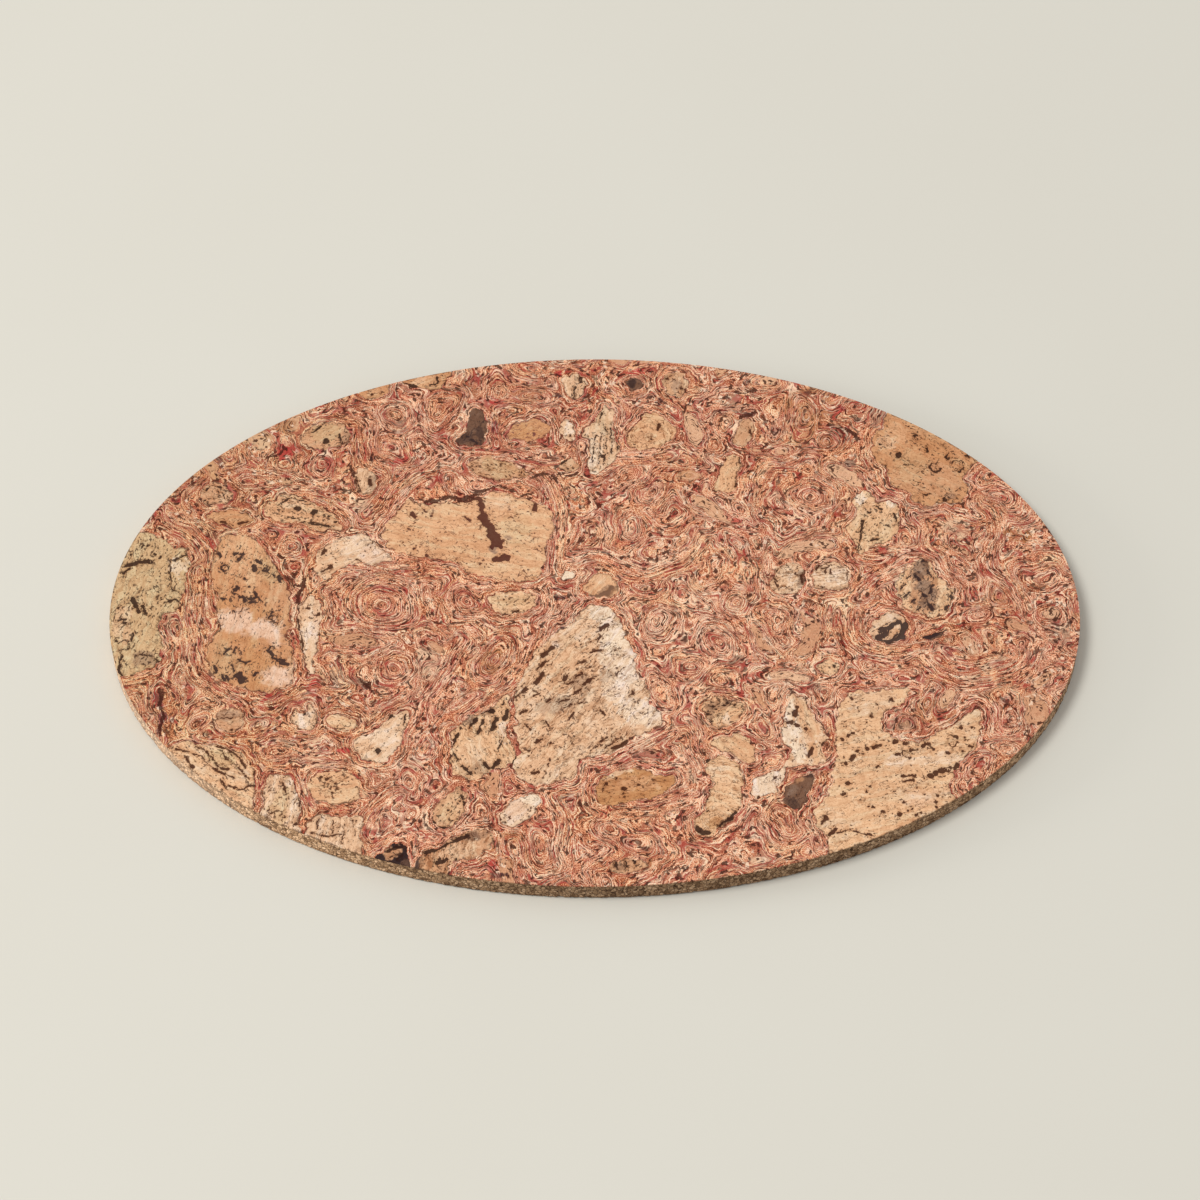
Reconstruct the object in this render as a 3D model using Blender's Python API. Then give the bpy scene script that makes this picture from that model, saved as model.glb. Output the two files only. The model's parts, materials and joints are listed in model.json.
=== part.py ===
"""Oval cork placemat.

A thick board of pressed cork granules carries a thin decorative face. The face is a slice
of a block that was pressed from lumps of cork bark and from swirled layers of cork shavings,
so it is a sheet of swirled layers with a window for each lump, and one flat piece of bark in
each window. An oval die cut the board and the face together, so lumps at the rim end there.

Every length is in millimetres. The origin is at the middle of the underside, +X runs along
the mat, +Y across it and +Z up.
"""

import math

import bmesh
import bpy
from mathutils import Vector

# Driving dimensions

MM = 0.001
MAT_LENGTH = 450.0
MAT_WIDTH = 300.0
BOARD_THICKNESS = 9.7
GLUE_LINE = 0.3
FACE_THICKNESS = 0.7
JOINT_CLEARANCE = 0.3  # between a piece of bark and the edge of its window
LOWER_EDGE_EASE = 0.5  # the broken lower edge of the board
TRIM_ALLOWANCE = 9.0  # how far the face is laid out past the oval before the die cuts it
RIM_SIDES = 176
OUTLINE_CHORD = 5.0  # the longest straight side, about, on the outline of a piece of bark
CUTTER_REACH = 1.0  # how far a cutter passes each side of the face
LEAST_HALF_TURN_COSINE = 0.5  # corners that turn more sharply than this get a blunt window corner
SMOOTH_ANGLE = math.radians(30)

FACE_LEVEL = BOARD_THICKNESS + GLUE_LINE

# Colours as red, green and blue, with the roughness of the finish

BOARD_CORK = (0.36, 0.24, 0.14), 0.85
SWIRLED_CORK = (0.60, 0.32, 0.19), 0.60
PALE_BARK = (0.80, 0.58, 0.37), 0.55
TAN_BARK = (0.66, 0.42, 0.22), 0.58
AMBER_BARK = (0.58, 0.32, 0.13), 0.55
DARK_BARK = (0.16, 0.10, 0.08), 0.65

# The bark in the face: a tone, and the points that the outline's curve passes through.
# The points lie within the face as it is laid out, so those past the rim are on lumps that the die cuts.

BARK = {
    "bark_left_rim": (TAN_BARK, [
        (-234, 38), (-214, 46), (-205, 43), (-198, 39), (-192, 36), (-189, 30), (-190, 20), (-191, 10),
        (-195, 2), (-201, -4), (-203, -11), (-200, -18), (-200, -27), (-206, -32), (-215, -36), (-234, -30),
    ]),
    "bark_amber_left": (AMBER_BARK, [
        (-168, 45), (-175, 42), (-178, 30), (-177, 14), (-175, 2), (-175, -12), (-179, -22), (-177, -33),
        (-169, -40), (-158, -44), (-147, -44), (-140, -41), (-138, -36), (-139, -24), (-142, -12), (-142, 0),
        (-142, 13), (-147, 23), (-152, 31), (-159, 40),
    ]),
    "bark_club": (PALE_BARK, [
        (-137, 3), (-132, 8), (-127, 5), (-126, -6), (-129, -16), (-130, -27), (-129, -34), (-132, -38),
        (-133.5, -28), (-135, -16), (-138, -4),
    ]),
    "bark_pale_wedge": (PALE_BARK, [
        (-127, 38), (-118, 42), (-106, 45), (-103, 42), (-100, 36), (-95, 30), (-101, 28), (-111, 29),
        (-119, 25), (-126, 19), (-131, 24), (-130, 31),
    ]),
    "bark_cracked": (TAN_BARK, [
        (-88, 64), (-95, 54), (-100, 46), (-97, 39), (-90, 33), (-77, 31), (-66, 28), (-58, 23), (-49, 20),
        (-39, 17), (-30, 18), (-25, 23), (-24, 33), (-21, 43), (-21, 56), (-23, 62), (-34, 65), (-42, 68),
        (-50, 69), (-56, 65), (-66, 63), (-78, 62),
    ]),
    "bark_knot": (TAN_BARK, [
        (-141, 101), (-136, 107), (-131, 112), (-124, 112), (-118, 107), (-117, 99), (-123, 96), (-129, 94),
        (-135, 97),
    ]),
    "bark_ladder": (TAN_BARK, [
        (-186, 72), (-181, 75), (-175, 72), (-170, 67), (-173, 63), (-180, 61), (-186, 64),
    ]),
    "bark_speckled": (TAN_BARK, [
        (-157, 58), (-151, 64), (-144, 68), (-135, 65), (-127, 60), (-120, 53), (-118, 47), (-128, 48),
        (-139, 51), (-151, 53),
    ]),
    "bark_grey_sliver": (PALE_BARK, [
        (-113, 83), (-108, 84), (-103, 78), (-104, 71), (-110, 69), (-113, 75),
    ]),
    "bark_orange_left": (AMBER_BARK, [
        (-183, 56), (-172, 59), (-163, 57), (-160, 52), (-167, 49.5), (-176, 51),
    ]),
    "bark_rim_orange": (AMBER_BARK, [
        (-92, 135), (-84, 132), (-74, 133), (-70, 139), (-71, 152), (-94, 147),
    ]),
    "bark_rim_small": (AMBER_BARK, [
        (-112, 127), (-104, 127), (-99, 132), (-101, 145), (-117, 140),
    ]),
    "bark_heart": (PALE_BARK, [
        (-139, -58), (-137, -54), (-133.5, -56), (-130, -52), (-127, -55), (-125.5, -61), (-128, -66),
        (-133, -66), (-138, -62),
    ]),
    "bark_bean": (PALE_BARK, [
        (-122, -59), (-117, -57), (-110, -61), (-107, -64), (-113, -66), (-121, -65),
    ]),
    "bark_pebble": (PALE_BARK, [
        (-110, -72), (-105, -69), (-101, -68), (-98, -62), (-92, -58), (-86, -56), (-85, -61), (-88, -68),
        (-90, -77), (-95, -83), (-102, -83), (-108, -78),
    ]),
    "bark_green_lump": (TAN_BARK, [
        (-174, -58), (-168, -54), (-161, -56), (-159, -62), (-163, -67), (-171, -66),
    ]),
    "bark_rim_striped": (AMBER_BARK, [
        (-194, -76), (-184, -73), (-175, -74), (-167, -76), (-160, -82), (-155, -90), (-153, -97),
        (-154, -106), (-157, -122), (-182, -116), (-208, -90),
    ]),
    "bark_rim_pale": (PALE_BARK, [
        (-149, -93), (-143, -90), (-136, -95), (-133, -103), (-132, -112), (-131.5, -121), (-134, -134),
        (-152, -126), (-149, -105),
    ]),
    "bark_rim_lined": (PALE_BARK, [
        (-128, -115), (-119, -113), (-107, -113), (-105, -121), (-106, -141), (-128, -134),
    ]),
    "bark_pored": (TAN_BARK, [
        (-129, -93), (-121, -89), (-109, -91), (-105, -99), (-109, -107), (-120, -107), (-128, -101),
    ]),
    "bark_rim_sooty": (DARK_BARK, [
        (-99, -136), (-94, -130), (-89, -127), (-84, -128), (-82.5, -134), (-84, -149), (-101, -146),
    ]),
    "bark_rim_ribbed": (TAN_BARK, [
        (-79, -134), (-70, -129), (-58, -122), (-48, -121), (-44, -124), (-46, -131), (-56, -136),
        (-64, -139), (-68, -152), (-80, -159),
    ]),
    "bark_pod": (TAN_BARK, [
        (-73, -115), (-70, -120), (-62, -117), (-58, -111), (-57, -104), (-60, -97), (-66, -101), (-72, -108),
    ]),
    "bark_white_pebble": (PALE_BARK, [
        (-28, -101), (-25, -105), (-27, -111), (-31, -115), (-37, -118.5), (-42, -117), (-42, -112),
        (-38, -106), (-33, -102),
    ]),
    "bark_triangle": (PALE_BARK, [
        (-4, 4), (3, 3), (9, 0), (11, -7), (15, -17), (19.5, -23), (20, -35), (24, -44), (26, -52), (31, -61),
        (24, -67), (17, -71), (8, -78), (-3, -81), (-9, -85), (-8, -91), (-15, -94), (-26, -95), (-35, -92),
        (-37, -85), (-33, -79), (-37, -69), (-36, -56), (-36, -43), (-31, -30), (-27, -22), (-18, -12),
        (-11, -8),
    ]),
    "bark_fringed": (TAN_BARK, [
        (-40, -47), (-48, -53), (-58, -60), (-65, -68), (-66, -78), (-65, -89), (-57, -92), (-48, -90),
        (-41, -86), (-37, -79), (-41, -69), (-39.5, -57),
    ]),
    "bark_amber": (AMBER_BARK, [
        (1, -96), (6, -91), (13, -88), (20, -88), (28, -91), (36, -92), (33, -99), (24, -104), (14, -105),
        (6, -107), (1, -106),
    ]),
    "bark_root": (TAN_BARK, [
        (50, -82), (57, -80), (64, -84), (68, -90), (66, -97), (66, -106), (63, -112), (57, -118), (50, -123),
        (46, -121), (45, -117), (50, -112), (51, -104), (53, -96), (52, -89),
    ]),
    "bark_white_branch": (PALE_BARK, [
        (72, -93), (80, -91), (86, -84), (89, -77), (86, -68), (87, -55), (91, -46), (96, -49), (100, -59),
        (106, -69), (104, -78), (106, -84), (100, -85.5), (94, -85), (88, -88), (84, -95), (80, -101),
        (73, -104), (70, -100),
    ]),
    "bark_dark_right": (DARK_BARK, [
        (91, -91), (95, -92), (99, -90), (98, -95), (95, -102), (94, -106), (90, -108), (86, -105), (87, -99),
    ]),
    "bark_right_rim": (PALE_BARK, [
        (112, -58), (114, -50), (118, -46), (130, -45), (145, -43), (142, -51), (131, -58), (131, -66),
        (140, -72), (152, -71), (162, -63), (170, -58), (175, -52), (176, -58), (173, -74), (163, -89),
        (161, -99), (167, -117), (141, -134), (106, -146), (105, -126), (99, -114), (105, -102), (108, -90),
        (111, -77), (110, -68),
    ]),
    "bark_star": (PALE_BARK, [
        (122, 67), (127, 70), (131, 67), (134, 62), (139, 65), (144, 62), (143, 53), (141, 45), (137, 39),
        (130, 37), (122, 32), (122, 41), (118, 48), (123, 53), (122, 60),
    ]),
    "bark_upper_rim": (TAN_BARK, [
        (134, 102), (138, 109), (144, 124), (168, 118), (191, 96), (178, 85), (175, 77), (177, 72), (172, 64),
        (160, 62), (151, 64), (149, 69), (142, 74), (139, 83), (134, 87), (132, 94),
    ]),
    "bark_ridged_left": (PALE_BARK, [
        (82, 17), (85, 24), (90, 29), (95, 28), (97, 22), (98, 16), (96, 12), (88, 10), (83, 12),
    ]),
    "bark_ridged_right": (PALE_BARK, [
        (101, 20), (104, 27), (110, 29), (117, 26), (119, 20), (118, 14), (110, 12), (102, 14),
    ]),
    "bark_smoky": (PALE_BARK, [
        (141, 10), (142, 20), (147, 27), (153, 31), (158, 28), (159, 20), (163, 17), (167, 11), (166, 4),
        (162, -1), (156, -3), (150, 0), (144, 4),
    ]),
    "bark_dark_tip": (DARK_BARK, [
        (128, -10), (130, -5), (135, -1), (140, 0), (144, -4), (146, -9), (144, -15), (136, -18), (129, -17),
    ]),
    "bark_dark_sliver": (DARK_BARK, [
        (151, -15), (156, -11.5), (164, -10), (160, -14), (154, -16.5),
    ]),
    "bark_fan": (PALE_BARK, [
        (-5, 104), (-4, 108.5), (0, 110), (1, 117), (5, 123), (9, 119), (8, 110), (10, 101), (12, 95),
        (9, 88), (3, 84), (0, 80.5), (-3, 82), (-2, 90), (-3.5, 95), (-2, 100),
    ]),
    "bark_dark_left": (DARK_BARK, [
        (-57, 121), (-55, 117), (-52, 111), (-52, 103), (-55, 98), (-63, 97), (-67, 100), (-63.5, 103),
        (-62, 110), (-59, 115),
    ]),
    "bark_white_sliver": (PALE_BARK, [
        (-15, 113), (-12, 114), (-10, 110), (-10, 102), (-12, 100), (-14, 103), (-16, 108),
    ]),
    "bark_strip_lower": (TAN_BARK, [
        (57, 71), (60, 80), (63, 91), (67, 93), (70, 89), (68, 80), (67, 71), (62, 69.5),
    ]),
    "bark_strip_upper": (TAN_BARK, [
        (66, 98), (69, 109), (74, 114), (77, 108), (74, 100), (71, 96),
    ]),
    "bark_long_lump": (AMBER_BARK, [
        (-60, 87), (-52, 91), (-44, 89), (-36, 85), (-30, 80), (-37, 77), (-47, 78), (-56, 81),
    ]),
    "bark_ringed_lump": (TAN_BARK, [
        (-42, 106), (-35, 111), (-26, 113), (-21, 108), (-27, 102), (-35, 100), (-41, 102),
    ]),
    "bark_onion": (TAN_BARK, [
        (15, 103), (20, 112), (26, 117), (33, 114), (39, 107), (37, 101), (28, 96), (20, 94), (15, 98),
    ]),
    "bark_chip": (TAN_BARK, [
        (-17, 87), (-12, 90), (-7, 88), (-8, 83), (-12, 81), (-16, 84),
    ]),
    "bark_top_stub": (PALE_BARK, [
        (-15, 139), (-9, 142), (-4, 137), (-7, 127), (-12, 124), (-14, 131),
    ]),
    "bark_top_pod": (TAN_BARK, [
        (31, 136), (35, 142), (42, 141), (45, 135), (42, 128), (36, 130),
    ]),
    "bark_top_dark": (DARK_BARK, [
        (14, 137), (19, 138.5), (24, 136), (23, 131.5), (18, 131.5),
    ]),
    "bark_white_chip": (PALE_BARK, [
        (-17, 19), (-13, 24), (-9, 23), (-10, 18), (-15, 16),
    ]),
    "bark_grey_foot": (PALE_BARK, [
        (-6, 12), (0, 22), (7, 21), (11, 14), (8, 9), (0, 8),
    ]),
    "bark_ring_pod": (TAN_BARK, [
        (-50, 7), (-44, 12), (-33, 12), (-26, 8), (-31, 1), (-40, -2), (-48, 1),
    ]),
    "bark_sooty": (PALE_BARK, [
        (50, -52), (55, -48), (62, -50), (69, -52), (67, -58), (61, -65), (56, -66), (52, -61),
    ]),
    "bark_orange_cap": (AMBER_BARK, [
        (53, -74), (59, -70), (66, -67.5), (71, -72), (73, -80), (71, -86), (66, -82), (59, -77),
    ]),
    "bark_small_pale": (PALE_BARK, [
        (102, -30), (107, -28), (112, -31), (110, -34.5), (104, -35),
    ]),
    "bark_low_ribbed": (TAN_BARK, [
        (7, -140), (12, -136.5), (20, -135), (25, -139), (19, -143), (11, -143.5),
    ]),
}


def rim_points(inset):
    """The oval of the mat, counter-clockwise, drawn in all round by inset."""
    long_radius = MAT_LENGTH / 2 - inset
    short_radius = MAT_WIDTH / 2 - inset
    angles = [2 * math.pi * side / RIM_SIDES for side in range(RIM_SIDES)]
    return [(long_radius * math.cos(angle), short_radius * math.sin(angle)) for angle in angles]


def laid_out():
    """The outline of each lump, with the layout stretched to pass the oval by the trim allowance."""
    knots = [knot for _, outline in BARK.values() for knot in outline]
    stretch_x = (MAT_LENGTH / 2 + TRIM_ALLOWANCE) / max(abs(x) for x, _ in knots)
    stretch_y = (MAT_WIDTH / 2 + TRIM_ALLOWANCE) / max(abs(y) for _, y in knots)
    return {
        name: closed_curve([(x * stretch_x, y * stretch_y) for x, y in outline])
        for name, (_, outline) in BARK.items()
    }


def crosses_rim(points):
    """Tells whether any of the points lies outside the oval of the mat."""
    return any(math.hypot(2 * x / MAT_LENGTH, 2 * y / MAT_WIDTH) > 1 for x, y in points)


def closed_curve(knots):
    """Points on a smooth closed curve through the knots, counter-clockwise, about a chord apart.

    Each stretch is a cubic whose slope at a knot is half the step between the knots beside it.
    """
    area = sum(a[0] * b[1] - b[0] * a[1] for a, b in zip(knots, knots[1:] + knots[:1]))
    ordered = [Vector(knot) for knot in (knots if area > 0 else knots[::-1])]
    count = len(ordered)
    points = []
    for place in range(count):
        before = ordered[place - 1]
        start = ordered[place]
        end = ordered[(place + 1) % count]
        after = ordered[(place + 2) % count]
        steps = max(1, round((end - start).length / OUTLINE_CHORD))
        for step in range(steps):
            t = step / steps
            leave = (end - before) / 2
            arrive = (after - start) / 2
            point = (
                (2 * t**3 - 3 * t**2 + 1) * start
                + (t**3 - 2 * t**2 + t) * leave
                + (3 * t**2 - 2 * t**3) * end
                + (t**3 - t**2) * arrive
            )
            points.append((point.x, point.y))
    return points


def grown(points, distance):
    """The same counter-clockwise outline with each side moved outwards by distance."""
    moved = []
    for place, point in enumerate(points):
        here = Vector(point)
        along_in = (here - Vector(points[place - 1])).normalized()
        along_out = (Vector(points[(place + 1) % len(points)]) - here).normalized()
        bisector = (along_in + along_out).normalized()
        outwards = Vector((bisector.y, -bisector.x))
        reach = distance / max(LEAST_HALF_TURN_COSINE, bisector.dot(along_out))
        moved.append((here.x + reach * outwards.x, here.y + reach * outwards.y))
    return moved


def add_plate(mesh_data, loops):
    """Adds one closed body to the bmesh from outlines at rising heights: [(points, height), ...]."""
    rings = []
    for points, height in loops:
        rings.append([mesh_data.verts.new((x * MM, y * MM, height * MM)) for x, y in points])
    mesh_data.faces.new(rings[0][::-1])
    mesh_data.faces.new(rings[-1])
    count = len(rings[0])
    for lower, upper in zip(rings, rings[1:]):
        for place in range(count):
            following = (place + 1) % count
            mesh_data.faces.new((lower[place], lower[following], upper[following], upper[place]))


def make_object(name, bodies, level, root):
    """An object made of closed plates, set at a height above the underside of the mat."""
    mesh_data = bmesh.new()
    for loops in bodies:
        add_plate(mesh_data, loops)
    mesh = bpy.data.meshes.new(name)
    mesh_data.to_mesh(mesh)
    mesh_data.free()
    mesh.shade_smooth()
    mesh.set_sharp_from_angle(angle=SMOOTH_ANGLE)
    made = bpy.data.objects.new(name, mesh)
    made.parent = root
    made.location.z = level * MM
    bpy.context.scene.collection.objects.link(made)
    return made


def as_cutter(made):
    """Keeps a helper out of renders, and shows it as wires."""
    made.hide_render = True
    made.display_type = "WIRE"
    return made


def cut(made, cutter, operation):
    """Cuts an object with another by a Boolean modifier."""
    modifier = made.modifiers.new(cutter.name, "BOOLEAN")
    modifier.operation = operation
    modifier.solver = "EXACT"
    modifier.object = cutter


def finish(made, look):
    """Gives an object its own material, from a colour and a roughness."""
    colour, roughness = look
    material = bpy.data.materials.new(made.name)
    material.use_nodes = True
    shader = material.node_tree.nodes["Principled BSDF"]
    shader.inputs["Base Color"].default_value = (*colour, 1)
    shader.inputs["Roughness"].default_value = roughness
    shader.inputs["Metallic"].default_value = 0
    made.data.materials.append(material)


def make_board(root):
    """The board of pressed granules, with its lower edge broken."""
    loops = [
        (rim_points(LOWER_EDGE_EASE), 0),
        (rim_points(0), LOWER_EDGE_EASE),
        (rim_points(0), BOARD_THICKNESS),
    ]
    finish(make_object("core_board", [loops], 0, root), BOARD_CORK)


def plate_loops(points, overshoot=0.0):
    """Loops of a plate as thick as the face, or of one that passes it by overshoot on each side."""
    return [(points, -overshoot), (points, FACE_THICKNESS + overshoot)]


def make_face(root):
    """The sheet of swirled layers with its windows, and the piece of bark in each window."""
    outlines = laid_out()
    oval = as_cutter(make_object("oval_die", [plate_loops(rim_points(0))], FACE_LEVEL, root))
    windows = [plate_loops(grown(points, JOINT_CLEARANCE), CUTTER_REACH) for points in outlines.values()]
    window_cutter = as_cutter(make_object("window_cutter", windows, FACE_LEVEL, root))
    sheet = make_object("swirl_sheet", [plate_loops(rim_points(0))], FACE_LEVEL, root)
    finish(sheet, SWIRLED_CORK)
    cut(sheet, window_cutter, "DIFFERENCE")
    for name, points in outlines.items():
        trimmed = crosses_rim(points)
        bark = make_object(name, [plate_loops(points, CUTTER_REACH * trimmed)], FACE_LEVEL, root)
        finish(bark, BARK[name][0])
        if trimmed:
            cut(bark, oval, "INTERSECT")


def main():
    for old in list(bpy.data.objects):
        bpy.data.objects.remove(old, do_unlink=True)
    root = bpy.data.objects.new("placemat", None)
    bpy.context.scene.collection.objects.link(root)
    make_board(root)
    make_face(root)


main()
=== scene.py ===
# %% [markdown]
# # An oval cork placemat
#
# The mat is a thick board of pressed cork granules with a thin face glued on. The face is a slice of a
# block that was pressed from lumps of bark and from swirled layers of shavings. This lesson dresses the
# solids of the mat: first the view, the floor and the light, then the board, the swirled sheet, and the
# pieces of bark one by one.

import json
import math

import bpy
import numpy as np
from mathutils.geometry import delaunay_2d_cdt
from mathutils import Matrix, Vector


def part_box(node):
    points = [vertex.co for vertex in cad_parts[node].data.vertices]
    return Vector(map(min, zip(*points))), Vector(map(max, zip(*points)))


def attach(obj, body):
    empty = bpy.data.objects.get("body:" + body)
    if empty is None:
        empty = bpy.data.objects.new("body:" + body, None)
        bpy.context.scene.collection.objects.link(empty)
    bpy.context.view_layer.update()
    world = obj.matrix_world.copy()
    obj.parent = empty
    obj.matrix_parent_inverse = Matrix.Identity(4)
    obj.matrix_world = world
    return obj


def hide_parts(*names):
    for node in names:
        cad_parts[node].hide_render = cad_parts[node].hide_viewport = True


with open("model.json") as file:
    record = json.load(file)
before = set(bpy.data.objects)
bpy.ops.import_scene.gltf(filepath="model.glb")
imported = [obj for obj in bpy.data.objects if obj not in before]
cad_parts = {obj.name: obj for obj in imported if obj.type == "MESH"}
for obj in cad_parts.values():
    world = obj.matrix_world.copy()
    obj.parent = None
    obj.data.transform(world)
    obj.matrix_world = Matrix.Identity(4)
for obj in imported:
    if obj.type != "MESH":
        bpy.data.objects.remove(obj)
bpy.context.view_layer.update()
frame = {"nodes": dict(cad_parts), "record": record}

# %% [markdown]
# ## Sizes
#
# Every size comes from the solids. Arrays in this lesson hold millimetres, because a cork layer is about
# one millimetre thick, and they become metres when a mesh is written.

# %% Sizes of the mat
MM = 0.001
sheet_low, sheet_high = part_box("swirl_sheet")
HALF_LENGTH = sheet_high.x / MM
HALF_WIDTH = sheet_high.y / MM
FACE_LEVEL = sheet_low.z / MM
TOP_LEVEL = sheet_high.z / MM
print(f"oval {2 * HALF_LENGTH:.1f} by {2 * HALF_WIDTH:.1f} mm")
print(f"face from {FACE_LEVEL:.1f} to {TOP_LEVEL:.1f} mm above the table")

# %% [markdown]
# ## Camera
#
# The mat lies flat and is seen from in front, from about 54 degrees above the table, through a long lens.
# An oval of 3 to 2 looks as flat as this one does from that angle, and its width on the picture gives the
# distance.

# %% Camera
LENS_LENGTH = 135
SENSOR_WIDTH = 36
CAMERA_PLACE = (0.00246, -1.2147, 1.7094)
CAMERA_TILT = math.radians(35.716)  # up from looking straight down
lens = bpy.data.cameras.new("camera")
lens.lens = LENS_LENGTH
lens.sensor_width = SENSOR_WIDTH
camera = bpy.data.objects.new("camera", lens)
camera.location = CAMERA_PLACE
camera.rotation_euler = (CAMERA_TILT, 0, 0)
bpy.context.scene.collection.objects.link(camera)
bpy.context.scene.camera = camera
print("camera at", list(camera.location))

# %% [markdown]
# ## Shader arithmetic
#
# A material is a graph of nodes, and a long graph is hard to read. The class below wraps one socket.
# Adding or multiplying two of them adds a Math node, so a pattern can be written as a formula.


# %% A socket that can be added and multiplied
class Signal:
    """One value or colour in a material, with arithmetic that adds Math nodes."""

    def __init__(self, tree, socket):
        self.tree = tree
        self.socket = socket

    def node(self, kind, inputs=(), output=0, stops=(), **settings):
        """Adds a node: its settings and ramp stops first, then a value or a link for each socket."""
        made = self.tree.nodes.new("ShaderNode" + kind)
        for key, value in settings.items():
            setattr(made, key, value)
        for place, (position, colour) in enumerate(stops):
            elements = made.color_ramp.elements
            element = elements[place] if place < len(elements) else elements.new(position)
            element.position = position
            element.color = colour
        for key, value in dict(inputs).items():
            if isinstance(value, Signal):
                self.tree.links.new(value.socket, made.inputs[key])
            else:
                made.inputs[key].default_value = value
        return Signal(self.tree, made.outputs[output])

    def maths(self, operation, first, second=0.0):
        return self.node("Math", {0: first, 1: second}, operation=operation)

    def __add__(self, other):
        return self.maths("ADD", self, other)

    def __sub__(self, other):
        return self.maths("SUBTRACT", self, other)

    def __rsub__(self, other):
        return self.maths("SUBTRACT", other, self)

    def __mul__(self, other):
        return self.maths("MULTIPLY", self, other)

    def __abs__(self):
        return self.maths("ABSOLUTE", self)

    __radd__ = __add__
    __rmul__ = __mul__

    def rise(self, low, high):
        """Zero below low, one above high, and a smooth step between them."""
        inputs = {0: self, 1: low, 2: high}
        return self.node("MapRange", inputs, interpolation_type="SMOOTHSTEP")

    def larger(self, other):
        return self.maths("MAXIMUM", self, other)

    def blend(self, first, second, blend_type="MIX"):
        """The first colour where this mask is zero and the second where it is one."""
        inputs = {0: self, 6: first, 7: second}
        return self.node("Mix", inputs, output=2, data_type="RGBA", blend_type=blend_type)

    def scaled(self, factor):
        """A vector times a number."""
        return self.node("VectorMath", {0: self, "Scale": factor}, operation="SCALE")

    def noise(self, size, detail=2.0, roughness=0.5, **settings):
        """Cloudy noise, about 0 to 1, over a vector in mm, with lumps of the given size."""
        inputs = {"Vector": self, "Scale": 1 / size, "Detail": detail, "Roughness": roughness}
        return self.node("TexNoise", inputs, **settings)

    def attribute(self, name, output="Fac"):
        return self.node("Attribute", output=output, attribute_name=name)


def new_finish(name):
    """A material with its shader, and the place on the mat in mm as a first signal."""
    material = bpy.data.materials.new(name)
    material.use_nodes = True
    tree = material.node_tree
    shader = tree.nodes["Principled BSDF"]
    place = Signal(tree, tree.nodes.new("ShaderNodeTexCoord").outputs["Object"]).scaled(1 / MM)
    return material, shader, place


def plug(signal, shader, socket):
    """Links a signal to a socket of the shader."""
    signal.tree.links.new(signal.socket, shader.inputs[socket])


def screen(red, green, blue):
    """A colour as it looks on a screen, 0 to 255, as the linear colour that a shader needs."""
    return (*((channel / 255) ** 2.2 for channel in (red, green, blue)), 1.0)


print("shader arithmetic ready")

# %% [markdown]
# ## Floor and light
#
# A studio table in warm off-white, large enough that no edge shows. A large soft lamp hangs high at the
# left and a little in front, so the shadow is short and falls to the right. A second, weak one stands low
# at the left like a window and brightens the left rim. An even world light fills the rest. The Standard
# view keeps the colours as they are painted.

# %% Floor and light
FLOOR_REACH = 6.0
FLOOR_SHADE = screen(218, 215, 205)
FLOOR_TINT = screen(221, 219, 210)
FILL_WHITE = (1.0, 0.985, 0.96, 1)
FILL_STRENGTH = 0.545
LAMP_WHITE = (1.0, 0.985, 0.95)
floor_mesh = bpy.data.meshes.new("table_top")
floor_corners = [(-FLOOR_REACH, -FLOOR_REACH, 0), (FLOOR_REACH, -FLOOR_REACH, 0)]
floor_corners += [(FLOOR_REACH, FLOOR_REACH, 0), (-FLOOR_REACH, FLOOR_REACH, 0)]
floor_mesh.from_pydata(floor_corners, [], [(0, 1, 2, 3)])
floor = bpy.data.objects.new("table_top", floor_mesh)
bpy.context.scene.collection.objects.link(floor)

floor_finish, floor_shader, place = new_finish("warm_white_table")
floor_tint = place.noise(180).blend(FLOOR_SHADE, FLOOR_TINT)
plug(floor_tint, floor_shader, "Base Color")
floor_shader.inputs["Roughness"].default_value = 0.75
floor_shader.inputs["Specular IOR Level"].default_value = 0.2
floor_mesh.materials.append(floor_finish)

world = bpy.data.worlds.new("even_fill")
world.use_nodes = True
fill = world.node_tree.nodes["Background"]
fill.inputs["Color"].default_value = FILL_WHITE
fill.inputs["Strength"].default_value = FILL_STRENGTH
bpy.context.scene.world = world


def soft_lamp(name, location, size, power):
    """A round area lamp that points at the middle of the mat."""
    light = bpy.data.lights.new(name, "AREA")
    light.shape = "DISK"
    light.size = size
    light.energy = power
    light.color = LAMP_WHITE
    lamp = bpy.data.objects.new(name, light)
    lamp.location = location
    lamp.rotation_euler = (-lamp.location).to_track_quat("-Z", "Y").to_euler()
    bpy.context.scene.collection.objects.link(lamp)


soft_lamp("high_lamp", location=(-2.37, -0.55, 4.69), size=2.2, power=136)
soft_lamp("window_lamp", location=(-4.92, 0.0, 0.87), size=1.5, power=85)
bpy.context.scene.view_settings.view_transform = "Standard"
print("floor, lamps and fill ready")

# %% [markdown]
# ## Noise
#
# Cork never repeats, so edges and layers need smooth random numbers. The helper puts random values on a
# square grid and blends them between the grid's corners. It works on whole arrays, and a seed makes every
# run the same.


# %% Smooth noise on arrays
NOISE_CELLS = 256


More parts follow.
